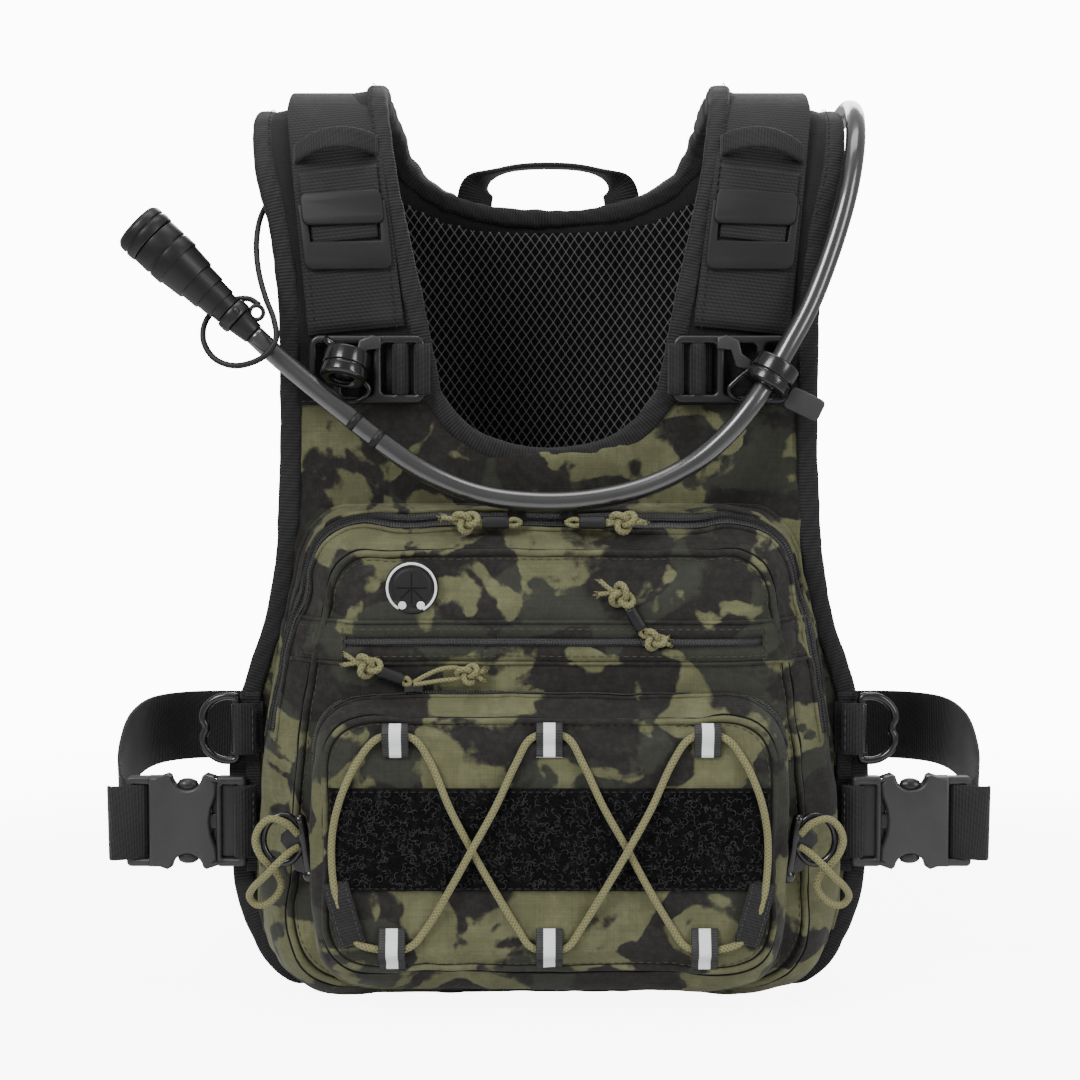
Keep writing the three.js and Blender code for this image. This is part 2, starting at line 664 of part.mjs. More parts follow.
/** Short tube that holds the hose, with a groove round it and a foot on the buckle. */
function hoseClip(centre, axis, footTo) {
  const bore = HOSE_D / 2 + CLIP_BORE_CLEARANCE;
  const outer = CLIP_OD / 2;
  const groove = outer - 1.2;
  const half = CLIP_LENGTH / 2;
  const profile = [
    [-half, bore], [-half, outer - 1], [-half + 1, outer], [1.5, outer], [1.5, groove],
    [3.2, groove], [3.2, outer], [half - 1, outer], [half, outer - 1], [half, bore],
    [-half, bore],
  ];
  const tube = turned(profile, centre, axis, 16);
  const foot = new THREE.CylinderGeometry(5, 5, 1, 12);
  const reach = footTo - (centre.y + outer - 3);
  foot.scale(1, reach, 1);
  foot.translate(centre.x, footTo - reach / 2, centre.z);
  const passage = turned([[-half - 9, 0], [-half - 9, bore], [half + 9, bore], [half + 9, 0]],
    centre, axis, 16);
  return cut(union(tube, foot), passage);
}

function addShoulders() {
  const half = PAD_THICK / 2;
  const pad = mapped(PAD_STEPS, 3, 1, (u, v, w) => {
    const edges = padEdges.getPoint(u);
    return padPoint(u, edges.x + (edges.y - edges.x) * v, (w - 0.5) * 2 * half);
  });
  addPair('shoulder_pad', pad, fabric);
  addPair('shoulder_webbing', shoulderWebbing(), webbing);
  addPair('strap_plate', strapPlate(), plastic);
  addPair('strap_flap', strapFlap(), rubber);
  addPair('shoulder_buckle', shoulderBuckle(), plastic);
}

// ---------------------------------------------------------------- hose, valve and tether
const clipY = clipBuckleRear - CLIP_BUCKLE.thick - GAP - CLIP_OD / 2;
const HOSE_ROUTE = [
  [66, 102.2, 352.8], [70, 102.4, 364], [80, 103, 378], [97, 104.5, 394], [117, 106, 409],
  [136, 105, 422], [150, 96, 436], [157, 80, 446], [158.5, 60, 450], [158.5, 36, 450.5],
  [158, 12, 447], [156.5, -10, 439],
  [154, -28, 424], [149.5, -38, 402], [141, -43.5, 374], [130, -48, 346],
  [119.5, clipY + 2, 326.5], [110.5, clipY, 311], [101, -57.5, 297], [88, -59.5, 281.5],
  [70, -61, 266.5], [47, -62, 255.5], [20, -62.5, 249.5], [-8, -62.5, 248.5],
  [-36, -62.5, 252.5], [-62, -62.5, 263.5], [-85, -62, 279.5], [-106, -61, 296.5],
  [-123, -59, 310.5], [-136.5, -58, 322.1], [VALVE_BASE.x, VALVE_BASE.y, VALVE_BASE.z],
];

function onValve(along, front, up) {
  const across = new THREE.Vector3(0.683, 0, 0.73).normalize();
  const p = VALVE_BASE.clone().addScaledVector(VALVE_AXIS, along).addScaledVector(across, up);
  return [p.x, p.y - front, p.z];
}

const TETHER_ROUTE = [
  [-133, -13, 410], [-139.5, -15, 403], [-146.5, -22, 393], [-148, -34, 380], [-146.5, -42, 366],
  [-142.5, -48, 354], onValve(2.5, 4, 11.5), onValve(3, 10, 6), onValve(3, 11.5, -1),
  onValve(3, 8.5, -8), onValve(6, 3, -13.5), onValve(13, 1, -20), [-164, -58, 317],
  [-171, -55.5, 323], [-173.5, -51, 332], [-171, -44, 341.5], [-163.5, -41, 347.5],
  [-154.5, -43.5, 347], onValve(6.5, -9.5, 5.5),
];

function addHydration() {
  const end = VALVE_BASE.clone().addScaledVector(VALVE_AXIS, -GAP);
  const route = HOSE_ROUTE.slice(0, -1);
  route.push([end.x, end.y, end.z]);
  add('hydration_hose', cord(route, HOSE_D, 46, 10), rubber());

  const body = [
    [0, 0], [0, 5.4], [9.6, 6.8], [9.6, 6], [16.4, 6], [16.4, 7.3], [22, 7.5], [22, 8.1], [30, 8.5],
    [30, 9], [39, 9.9], [39, 10.8], [51, 12.3], [53, 12.9], [66.8, 12.9], [66.8, 8.6],
    [75.5, 8.6], [75.5, 0],
  ];
  add('valve_body', turned(body, VALVE_BASE, VALVE_AXIS, 16), rubber());
  const collar = [[10, 6.4], [10, 8.3], [16, 8.3], [16, 6.4], [10, 6.4]];
  add('valve_collar', turned(collar, VALVE_BASE, VALVE_AXIS, 16), plastic());
  const cap = [
    [67.1, 9], [67.1, 13.3], [70, 13.6], [76.5, 13.2], [78.5, 11.6], [78.5, 0], [75.8, 0],
    [75.8, 9], [67.1, 9],
  ];
  add('valve_cap', turned(cap, VALVE_BASE, VALVE_AXIS, 16), rubber());
  add('valve_tether', cord(TETHER_ROUTE, TETHER_D, 48, 8), rubber());

  const along = v3(HOSE_ROUTE[18]).sub(v3(HOSE_ROUTE[16])).normalize();
  const footTo = clipBuckleRear - CLIP_BUCKLE.thick - GAP;
  add('right_hose_clip', hoseClip(new THREE.Vector3(110.5, clipY, 311), along, footTo), plastic());
  const leftAxis = new THREE.Vector3(-0.18, -0.42, -0.89).normalize();
  add('left_hose_clip', hoseClip(new THREE.Vector3(-101, clipY - 1.6, 315), leftAxis, footTo),
    plastic());

  const lever = new THREE.BoxGeometry(19, 2.6, 11.5, 1, 1, 1);
  lever.rotateY(0.45);
  lever.translate(126.8, clipY + 1, 296.4);
  add('hose_clip_lever', lever, plastic());
}

// ---------------------------------------------------------------- rings, straps and buckles
/** Webbing tab doubled round an upright bar. */
function doubledTab(rootX, barX, barY, reach, z, height) {
  return strip([
    [rootX, FRONT_FACE - GAP - 0.75, z], [(rootX + barX) / 2, (FRONT_FACE + barY + reach) / 2, z],
    [barX + 0.6, barY + reach, z], [barX + reach, barY, z], [barX + 0.6, barY - reach, z],
    [(rootX + barX) / 2, barY - reach + 0.6, z], [rootX, barY - reach + 2, z],
  ], [0, 0, 1], height, 1.5, 14);
}

function sideWebbing() {
  const root = MAIN_HALF + 1.4;
  const tape = block(root - 0.8, root + 4, FRONT_FACE - GAP - 1.5, FRONT_FACE - GAP, 60, 148);
  const ringTab = doubledTab(root, DRING_BAR_X, dringY, 3.3, (DRING_LOW + DRING_HIGH) / 2, 27);
  const buckleTab = doubledTab(root, ANCHOR_BAR_X, buckleY, 3.7, BUCKLE_Z, STRAP_WIDTH);
  return union(tape, ringTab, buckleTab);
}

function dRing() {
  const x = DRING_BAR_X;
  const middle = (DRING_LOW + DRING_HIGH) / 2;
  const half = (DRING_HIGH - DRING_LOW) / 2;
  const side = [[0, -half + 1], [0, -half / 2], [0, half / 2], [0, half - 1], [3.5, half],
    [9, half - 1], [14.5, half - 6], [17, half - 12], [15.6, 0], [17, -half + 12],
    [14.5, -half + 6], [9, -half + 1], [3.5, -half]];
  return ring(side.map(([dx, dz]) => [x + dx, dringY, middle + dz]), DRING_WIRE / 2, 34, 6);
}

function buckleFemale() {
  const half = BUCKLE_HEIGHT / 2;
  const z = BUCKLE_Z;
  const y0 = buckleY - BUCKLE_THICK / 2;
  const y1 = buckleY + BUCKLE_THICK / 2;
  const outline = roundedRect(MOUTH_X, FEMALE_END_X, z - half, z + half, 3);
  const body = plate(outline, y0, y1, 3);
  const room = block(MOUTH_X - 1, FEMALE_END_X - 4, buckleY - 3.2, buckleY + 3.2,
    z - half + 6.5, z + half - 6.5);
  const windows = [-1, 1].map((side) => {
    const tool = new THREE.CylinderGeometry(8.5, 8.5, BUCKLE_THICK + 4, 20);
    tool.translate(MOUTH_X + 16, buckleY, z + side * (half + 1.2));
    return tool;
  });
  const mouth = new THREE.CylinderGeometry(26, 26, BUCKLE_THICK + 4, 32);
  mouth.translate(MOUTH_X - 23, buckleY, z);
  const frame = block(FEMALE_END_X - 1, LADDER_X, buckleY - 2.2, buckleY + 2.2, z - half, z + half);
  const slot = block(FEMALE_END_X, LADDER_X - 2.6, buckleY - 5, buckleY + 5,
    z - STRAP_WIDTH / 2 - 0.8, z + STRAP_WIDTH / 2 + 0.8);
  const bar = block(LADDER_X - 7.6, LADDER_X - 5.2, buckleY - 1.3, buckleY + 1.3,
    z - half + 1, z + half - 1);
  return union(cut(body, room, mouth, ...windows), cut(frame, slot), bar);
}

function buckleMale() {
  const half = BUCKLE_HEIGHT / 2;
  const z = BUCKLE_Z;
  const barIn = ANCHOR_BAR_X - ANCHOR_BAR / 2;
  const barOut = ANCHOR_BAR_X + ANCHOR_BAR / 2;
  const base = block(barIn, MOUTH_X - GAP, buckleY - 3, buckleY + 3, z - half, z + half);
  const slot = block(barIn - 1, barOut + ANCHOR_SLOT, buckleY - 10, buckleY + 10,
    z - STRAP_WIDTH / 2 - 0.6, z + STRAP_WIDTH / 2 + 0.6);
  const bar = block(barIn, barOut, buckleY - 1.6, buckleY + 1.6, z - half + 1, z + half - 1);
  const guide = block(MOUTH_X - 2, 190, buckleY - 2.4, buckleY + 2.4, z - 4, z + 4);
  return union(cut(base, slot), bar, guide);
}

/** Springing arm of the male half; `side` is +1 for the upper one. */
function latchArm(side) {
  const outer = BUCKLE_HEIGHT / 2 - 6.5 - GAP;
  const s = new THREE.Shape();
  const z = (value) => BUCKLE_Z + side * value;
  s.moveTo(MOUTH_X, z(outer - 4));
  s.lineTo(MOUTH_X, z(outer - 0.8));
  s.lineTo(MOUTH_X + 9, z(outer - 0.8));
  s.lineTo(MOUTH_X + 10, z(outer));
  s.lineTo(MOUTH_X + 21, z(outer));
  s.lineTo(MOUTH_X + 24, z(outer - 3));
  s.lineTo(MOUTH_X + 23, z(outer - 7));
  s.lineTo(MOUTH_X + 11, z(outer - 6));
  s.closePath();
  return plate(s, buckleY - 2.6, buckleY + 2.6, 3);
}

function sideStrap() {
  const y = buckleY;
  const z = BUCKLE_Z;
  const rootY = backRear + GAP + STRAP_THICK / 2;
  return strip([
    [128, rootY, z + 29], [145, rootY, z + 29], [170, rootY - 2.5, z + 30],
    [200, rootY - 13, z + 31], [221, rootY - 35, z + 31], [229, 26, z + 28], [230, 2, z + 18],
    [227.5, y + 23, z + 7.5], [221.5, y + 11, z + 1.5], [214.8, y + 5.2, z], [208, y + 3.6, z],
    [LADDER_X - 10, y, z], [208, y - 3.6, z], [216, y - 4.3, z],
    [221.5, y - 1.5, z], [222.8, y + 4, z],
  ], [0, 0, 1], STRAP_WIDTH, STRAP_THICK, 44);
}

function addSides() {
  addPair('side_webbing', sideWebbing(), webbing);
  addPair('d_ring', dRing(), plastic);
  addPair('side_strap', sideStrap(), webbing);
  addPair('buckle_female', buckleFemale(), plastic);
  addPair('buckle_male', buckleMale(), plastic);
  addPair('latch_arm_upper', latchArm(1), plastic);
  addPair('latch_arm_lower', latchArm(-1), plastic);
}

// ---------------------------------------------------------------- hooks and their cords
const HOOK_BAR = new THREE.Vector3(119.6, mainFace - SEAT - 3.1, 80);

function hook() {
  const bar = new THREE.CylinderGeometry(3.1, 3.1, 28, 12);
  bar.rotateX(Math.PI / 2);
  bar.translate(HOOK_BAR.x, HOOK_BAR.y, HOOK_BAR.z);
  const loop = [];
  for (let i = 0; i < 12; i++) {
    const angle = (i / 12) * Math.PI * 2;
    loop.push([HOOK_BAR.x + 11 + Math.cos(angle) * 9.5, HOOK_BAR.y - 1, HOOK_BAR.z + 4
      + Math.sin(angle) * 11.5]);
  }
  const beak = mapped(1, 1, 1, (u, v, w) => new THREE.Vector3(
    HOOK_BAR.x + u * 8, HOOK_BAR.y + (v - 0.5) * 3.6, HOOK_BAR.z + 4 + (w - 0.5) * (12 - 7 * u)));
  return union(bar, ring(loop, 1.9, 22, 6), beak);
}

const CORD_LOOP_ROUTE = [
  [122.8, -90.4, 86.5], [126.3, -91.6, 90.8], [131, -92.6, 94], [136.5, -93, 94.8],
  [141.5, -93, 90.5],
  [143.5, -92.8, 84], [141.5, -92.3, 77.5], [137, -91, 71.5], [132.8, -89.6, 66.5],
  [131.4, -88, 61], [134, -86.5, 55.5], [139.3, -84.5, 51], [144.2, -83.5, 50.4],
  [147.4, -85, 54.5], [145, -89.5, 60.3], [138.6, -94.6, 67], [132.6, -96.6, 73.5],
  [126.6, -93.2, 78.6], [122.6, -90.4, 80.6],
].map(([x, y, z]) => [x, y + mainFace + 82, z]);

function addHooks() {
  addPair('hook', hook(), plastic);
  addPair('cord_loop', cord(CORD_LOOP_ROUTE, CORD_D, 34, 8), cordGreen);
}

// ---------------------------------------------------------------- zip sliders and pulls
/** Wedge-shaped slider body lying on a surface that faces along `normal`. */
function slider(at, normal, length, width, height) {
  const g = new THREE.BoxGeometry(length, width, height, 2, 1, 1);
  const p = g.attributes.position;
  for (let i = 0; i < p.count; i++) {
    if (Math.abs(p.getX(i)) < 0.01) p.setY(i, p.getY(i) * 0.72);
  }
  g.translate(0, 0, height / 2);
  g.applyQuaternion(new THREE.Quaternion().setFromUnitVectors(new THREE.Vector3(0, 0, 1), normal));
  g.translate(at.x, at.y, at.z);
  return g;
}

/** Cord pull with its sleeve: a rounded bar from one point to another. */
function pull(from, to, radius) {
  const axis = to.clone().sub(from);
  const length = axis.length();
  const profile = [[0, 0], [0.6, radius * 0.6], [3, radius], [length - 3, radius],
    [length - 0.6, radius * 0.6], [length, 0]];
  return turned(profile, from, axis.normalize(), 8);
}

function addZipFittings() {
  const out = new THREE.Vector3(0, -1, 0);
  const zipTop = mainFace - GAP - ZIP_THICK;

  const topSlope = topOfMainZip();
  for (const [name, x, reach] of [['left', -16, -30], ['right', 10, 28]]) {
    const at = topSlope.point(x, SEAT);
    add(`main_zip_slider_${name}`, slider(at, topSlope.normal, 9, 8, 3.6), plastic());
    const from = topSlope.point(x + Math.sign(reach) * 5.2, 2.8);
    const to = topSlope.point(x + reach, 2.8);
    add(`main_zip_pull_${name}`, pull(from, to, 2.6), cordGreen());
  }

  const middleAt = new THREE.Vector3(48, zipTop - GAP, 181);
  add('middle_zip_slider', slider(middleAt, out, 9, 8, 3.6), plastic());
  const middleY = zipTop - GAP - 3.9;
  add('middle_zip_pull', pull(new THREE.Vector3(44.5, middleY - 1.2, 185.3 + 0.5),
    new THREE.Vector3(23, middleY, 207), 2.6), cordGreen());

  const smallSlope = topOfSmallZip();
  const smallAt = smallSlope.point(-66, SEAT);
  add('small_zip_slider', slider(smallAt, smallSlope.normal, 9, 7, 3.6), plastic());
  add('small_zip_pull', pull(smallSlope.point(-71.2, 2.8), smallSlope.point(-99, 6.4), 2.6),
    cordGreen());
}

/** Flat run of a zip on a pocket's top: a point on it at x and a height above it. */
function topRun(near, far, share, span) {
  const a = levelPoint(0, span.high, near, span);
  const b = levelPoint(0, span.high, far, span);
  const along = b.clone().sub(a).normalize();
  const normal = new THREE.Vector3(0, along.z, -along.y);
  const middle = a.lerp(b, share);
  return {
    normal,
    point: (x, lift) => new THREE.Vector3(x, middle.y, middle.z)
      .addScaledVector(normal, lift + ZIP_THICK + SEAT),
  };
}

function topOfMainZip() {
  return topRun(MAIN_STEPS[1], MAIN_STEPS[2], 0.5, MAIN_SPAN);
}

function topOfSmallZip() {
  return topRun(SMALL_STEPS[0], SMALL_STEPS[1], 0.5, SMALL_SPAN);
}

// ---------------------------------------------------------------- handle
function grabHandle() {
  const y = backRear + GAP + 2.1;
  return strip([
    [-41, y, 380], [-41, y, 396], [-40.5, y, 409], [-38, y + 1.5, 418.5], [-24, y + 2, 424.5],
    [0, y + 2, 426.5], [24, y + 2, 424.5], [38, y + 1.5, 418.5], [40.5, y, 409],
    [41, y, 396], [41, y, 380],
  ], [
    [1, 0, 0], [1, 0, 0], [1, 0.1, 0], [0.6, 0.8, 0], [0, 1, 0],
    [0, 1, 0], [0, 1, 0], [-0.6, 0.8, 0], [-1, 0.1, 0], [-1, 0, 0], [-1, 0, 0],
  ], 20, 2.6, 26);
}

// ---------------------------------------------------------------- assembly
add('front_panel', plate(frontOutline(), FRONT_FACE, frontRear), camo());
add('back_panel', plate(backOutline(0, 0, BACK_TOP), backFace, backRear), fabric());
add('back_lining', plate(backOutline(10, 10, BACK_TOP - 12), liningFace, liningFace + LINING_THICK),
  fabric());
add('back_pocket', backPocket(), camo());
add('hydration_bladder', bladder(), film());
add('grab_handle', grabHandle(), webbing());
addShoulders();
addPockets();
addLace();
addSides();
addHooks();
addZipFittings();
addHydration();

export default vest;
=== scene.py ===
"""Fishing vest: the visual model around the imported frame. Lengths below are in millimetres."""
import json
import math

import bmesh
import bpy
import numpy as np
from mathutils import Matrix, Vector, noise
from mathutils.bvhtree import BVHTree

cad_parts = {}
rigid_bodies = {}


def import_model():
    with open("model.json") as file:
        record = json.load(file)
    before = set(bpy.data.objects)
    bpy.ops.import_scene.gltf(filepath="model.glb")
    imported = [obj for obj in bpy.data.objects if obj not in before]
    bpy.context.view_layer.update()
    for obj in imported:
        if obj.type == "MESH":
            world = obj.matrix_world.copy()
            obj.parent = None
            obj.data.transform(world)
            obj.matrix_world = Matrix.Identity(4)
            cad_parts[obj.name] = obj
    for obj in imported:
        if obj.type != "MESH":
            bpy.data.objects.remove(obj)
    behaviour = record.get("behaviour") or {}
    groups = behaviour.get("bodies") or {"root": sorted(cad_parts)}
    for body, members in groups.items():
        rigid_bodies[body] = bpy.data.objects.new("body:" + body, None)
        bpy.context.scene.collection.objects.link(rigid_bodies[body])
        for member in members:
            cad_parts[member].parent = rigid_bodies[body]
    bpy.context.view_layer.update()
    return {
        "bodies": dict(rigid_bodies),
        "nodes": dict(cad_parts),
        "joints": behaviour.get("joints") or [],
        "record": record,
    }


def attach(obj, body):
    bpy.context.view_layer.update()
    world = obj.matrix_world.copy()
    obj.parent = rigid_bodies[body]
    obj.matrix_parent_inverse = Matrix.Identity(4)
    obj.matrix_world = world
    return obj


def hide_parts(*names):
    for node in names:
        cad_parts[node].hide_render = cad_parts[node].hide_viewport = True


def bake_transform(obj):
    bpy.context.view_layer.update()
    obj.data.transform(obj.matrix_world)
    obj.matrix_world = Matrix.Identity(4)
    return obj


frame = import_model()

MM = 0.001
SCENE = bpy.context.scene
SIDES = (("right", 1), ("left", -1))

# ------------------------------------------------------------------ places shared with the frame
FRONT_FACE = -33.0
MAIN_FACE, SMALL_BASE_Y, SMALL_FACE = -78.3, -78.6, -102.6
PAD_THICK = 9.0
BUCKLE_Z = 85.0
CLIP_Y = -53.7


# ------------------------------------------------------------------ curves
def catmull(points, count, closed=False, power=0.25):
    """Points spaced evenly in parameter on a Catmull-Rom curve through the given ones. The power
    weighs the gaps between them: 0.25 keeps tight turns free of loops, 0 counts all the same."""
    pts = [np.array(p, float) for p in points]
    n = len(pts)
    out = []
    total = count if closed else count - 1
    for k in range(count):
        at = (n if closed else n - 1) * k / max(1, total)
        i = int(math.floor(at))
        w = at - i
        if not closed and i >= n - 1:
            i, w = n - 2, 1.0
        if closed:
            p0, p1, p2, p3 = pts[(i - 1) % n], pts[i % n], pts[(i + 1) % n], pts[(i + 2) % n]
        else:
            p1, p2 = pts[i], pts[i + 1]
            p0 = pts[i - 1] if i > 0 else 2 * p1 - p2
            p3 = pts[i + 2] if i + 2 < n else 2 * p2 - p1
        d0, d1, d2 = (max(1e-4, float(np.sum((a - b) ** 2)) ** power)
                      for a, b in ((p0, p1), (p1, p2), (p2, p3)))
        t1 = ((p1 - p0) / d0 - (p2 - p0) / (d0 + d1) + (p2 - p1) / d1) * d1
        t2 = ((p2 - p1) / d1 - (p3 - p1) / (d1 + d2) + (p3 - p2) / d2) * d1
        w2, w3 = w * w, w * w * w
        out.append((2 * w3 - 3 * w2 + 1) * p1 + (w3 - 2 * w2 + w) * t1
                   + (-2 * w3 + 3 * w2) * p2 + (w3 - w2) * t2)
    return np.array(out)


def distances(points):
    """Distance of each point from the first, along the line."""
    return np.concatenate([[0], np.cumsum(np.linalg.norm(np.diff(points, axis=0), axis=1))])


def even(points, step, closed=False):
    """The same line with points a fixed step apart."""
    p = np.array(points, float)
    if closed:
        p = np.vstack([p, p[:1]])
    length = distances(p)
    n = max(2, int(round(length[-1] / step)) + 1)
    at = np.linspace(0, length[-1], n)
    out = np.stack([np.interp(at, length, p[:, k]) for k in range(3)], axis=1)
    return out[:-1] if closed else out


def smooth_line(points, step, closed=False):
    return even(catmull(points, 12 * len(points), closed), step, closed)


def line_length(points):
    return float(np.sum(np.linalg.norm(np.diff(np.array(points), axis=0), axis=1)))


def quad(p0, p1, p2):
    """Ten points along a curve with one handle, without its start."""
    return [tuple((1 - t) ** 2 * a + 2 * t * (1 - t) * b + t * t * c
                  for a, b, c in zip(p0, p1, p2)) for t in [i / 10 for i in range(1, 11)]]


def cubic(p0, p1, p2, p3):
    """Sixteen points along a curve with two handles, without its start."""
    return [tuple((1 - t) ** 3 * a + 3 * (1 - t) * (1 - t) * t * b + 3 * (1 - t) * t * t * c
                  + t ** 3 * d for a, b, c, d in zip(p0, p1, p2, p3))
            for t in [i / 16 for i in range(1, 17)]]


def mirrored(points):
    return [(-p[0],) + tuple(p[1:]) for p in points]


# ------------------------------------------------------------------ mesh builders
def mend(me, weld=None):
    """Turns all faces outwards; points closer than weld, in metres, become one first."""
    bm = bmesh.new()
    bm.from_mesh(me)
    if weld:
        bmesh.ops.remove_doubles(bm, verts=bm.verts, dist=weld)
    bmesh.ops.recalc_face_normals(bm, faces=bm.faces)
    bm.to_mesh(me)
    bm.free()


def tag(ob, slot=None, node=None):
    """Hides the CAD node that a piece stands for; the slot is not used."""
    if node:
        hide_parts(node)
    return ob


def piece(name, verts, faces, material, body="vest", uvs=None):
    """A mesh piece from millimetre points; uvs gives one pair for each corner of each face."""
    me = bpy.data.meshes.new(name)
    me.from_pydata([tuple(float(c) * MM for c in v) for v in verts], [], faces)
    if uvs is not None:
        layer = me.uv_layers.new(name="uvm")
        flat = [c for face in uvs for uv in face for c in uv]
        layer.data.foreach_set("uv", flat)
    ob = bpy.data.objects.new(name, me)
    SCENE.collection.objects.link(ob)
    me.polygons.foreach_set("use_smooth", [True] * len(me.polygons))
    me.materials.append(material)
    mend(me)
    if body:
        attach(ob, body)
    return ob


def unit(rows):
    """Each row divided by its own length."""
    return rows / np.maximum(1e-9, np.linalg.norm(rows, axis=1))[:, None]


def unit_vector(v):
    v = np.array(v, float)
    return v / np.linalg.norm(v)


def frames_along(path, up, closed):
    """Side and normal for each point of a path. The normal stays near `up`, or without it turns
    as little as possible."""
    tangent = unit(np.roll(path, -1, 0) - np.roll(path, 1, 0) if closed
                   else np.gradient(path, axis=0))
    if up is None:
        start = np.array([0, 0, 1.0]) if abs(tangent[0][2]) < 0.9 else np.array([0, 1.0, 0])
        normals = [unit_vector(start - tangent[0] * start.dot(tangent[0]))]
        for t in tangent[1:]:
            v = normals[-1] - t * normals[-1].dot(t)
            normals.append(v / max(1e-9, np.linalg.norm(v)))
        normal = np.array(normals)
    else:
        up = np.broadcast_to(np.array(up, float), tangent.shape)
        normal = unit(up - tangent * np.sum(up * tangent, axis=1)[:, None])
    return np.cross(tangent, normal), normal


def sweep(name, path, profile, material, body="vest", up=None, closed=False, sizes=None,
          flat=False):
    """A closed profile of (across, out) points carried along a path. sizes scales each station;
    flat gives the second texture coordinate the distance across."""
    path = np.array(path, float)
    side, normal = frames_along(path, up, closed)
    prof = np.array(profile, float)
    m, n = len(prof), len(path)
    if sizes is None:
        sizes = np.ones((n, 2))
    verts = []
    for i in range(n):
        a, b = (prof * sizes[i]).T
        verts.append(path[i] + a[:, None] * side[i] + b[:, None] * normal[i])
    verts = np.concatenate(verts)
    prof_loop = np.vstack([prof, prof[:1]])
    around = prof_loop[:, 0] if flat else distances(prof_loop)
    along = distances(np.vstack([path, path[:1]]))
    faces, uvs = [], []
    for i in range(n if closed else n - 1):
        j = (i + 1) % n
        for k in range(m):
            q = (k + 1) % m
            faces.append((i * m + k, i * m + q, j * m + q, j * m + k))
            uvs.append(((along[i], around[k]), (along[i], around[k + 1]),
                        (along[i + 1], around[k + 1]), (along[i + 1], around[k])))
    if not closed:
        for start, order in ((0, range(m - 1, -1, -1)), ((n - 1) * m, range(m))):
            faces.append(tuple(start + k for k in order))
            uvs.append(tuple((float(prof[k, 0]), float(prof[k, 1])) for k in order))
    return piece(name, verts, faces, material, body, uvs)


def circle_profile(r, sides=12):
    return [(r * math.cos(2 * math.pi * k / sides), r * math.sin(2 * math.pi * k / sides))
            for k in range(sides)]


def tape_profile(width, thick):
    """Flat band with rounded edges; its width runs across and its thickness out."""
    w, h = width / 2, thick / 2
    half = []
    for a in (-90, -30, 30, 90):
        half.append((w - h + math.cos(math.radians(a)) * h, math.sin(math.radians(a)) * h))
    half += [(w * 0.45, h), (0, h), (-w * 0.45, h)]
    return half + [(-x, -y) for x, y in half]


def tube(name, path, radius, material, body="vest", closed=False, sides=12):
    return sweep(name, path, circle_profile(radius, sides), material, body, None, closed)


def band(name, points, across, width, thick, material, body="vest", step=2.5):
    """Strap along points; `across` is its width direction, one or one for each point."""
    pts = np.array(points, float)
    n = max(8, int(line_length(pts) / step))
    path = catmull(pts, n)
    if np.array(across, float).ndim == 1:
        wide = np.repeat(np.array([across], float), n, 0)
    else:
        wide = catmull(across, n, power=0.0)
    up = np.cross(wide, unit(np.gradient(path, axis=0)))
    return sweep(name, path, tape_profile(width, thick), material, body, up, flat=True)


def turned(name, profile, base, axis, material, body="vest", segments=48):
    """Closed turned piece: [distance along, radius] pairs from a base point along an axis."""
    axis = Vector(axis).normalized()
    rot = axis.to_track_quat("Z", "Y").to_matrix()
    verts, faces, uvs = [], [], []
    m = len(profile)
    for k in range(segments):
        a = 2 * math.pi * k / segments
        for along, r in profile:
            p = rot @ Vector((r * math.cos(a), r * math.sin(a), along)) + Vector(base)
            verts.append(tuple(p))
    for k in range(segments):
        q = (k + 1) % segments
        for i in range(m - 1):
            faces.append((k * m + i, q * m + i, q * m + i + 1, k * m + i + 1))
            u0, u1 = k / segments * 40, (k + 1) / segments * 40
            uvs.append(((profile[i][0], u0), (profile[i][0], u1),
                        (profile[i + 1][0], u1), (profile[i + 1][0], u0)))
    ob = piece(name, verts, faces, material, None, uvs)
    mend(ob.data, 1e-6)
    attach(ob, body)
    return ob


def rounded_profile(points, radius):
    """Turned profile with its inner corners rounded; the first and last points stay."""
    out = [points[0]]
    for i in range(1, len(points) - 1):
        a, b, c = (np.array(points[i - 1], float), np.array(points[i], float),
                   np.array(points[i + 1], float))
        la, lc = np.linalg.norm(a - b), np.linalg.norm(c - b)
        r = min(radius, la * 0.45, lc * 0.45)
        if r < 1e-3:
            out.append(tuple(b))
            continue
        p, q = b + (a - b) / la * r, b + (c - b) / lc * r
        for t in (0, 1 / 3, 2 / 3, 1):
            out.append(tuple((1 - t) ** 2 * p + 2 * t * (1 - t) * b + t * t * q))
    out.append(points[-1])
    return out


def join(name, objects):
    """One object out of several pieces on the same body."""
    bpy.ops.object.select_all(action="DESELECT")
    for o in objects:
        o.select_set(True)
    bpy.context.view_layer.objects.active = objects[0]
    bpy.ops.object.join()
    ob = objects[0]
    ob.name = name
    ob.data.name = name
    return ob


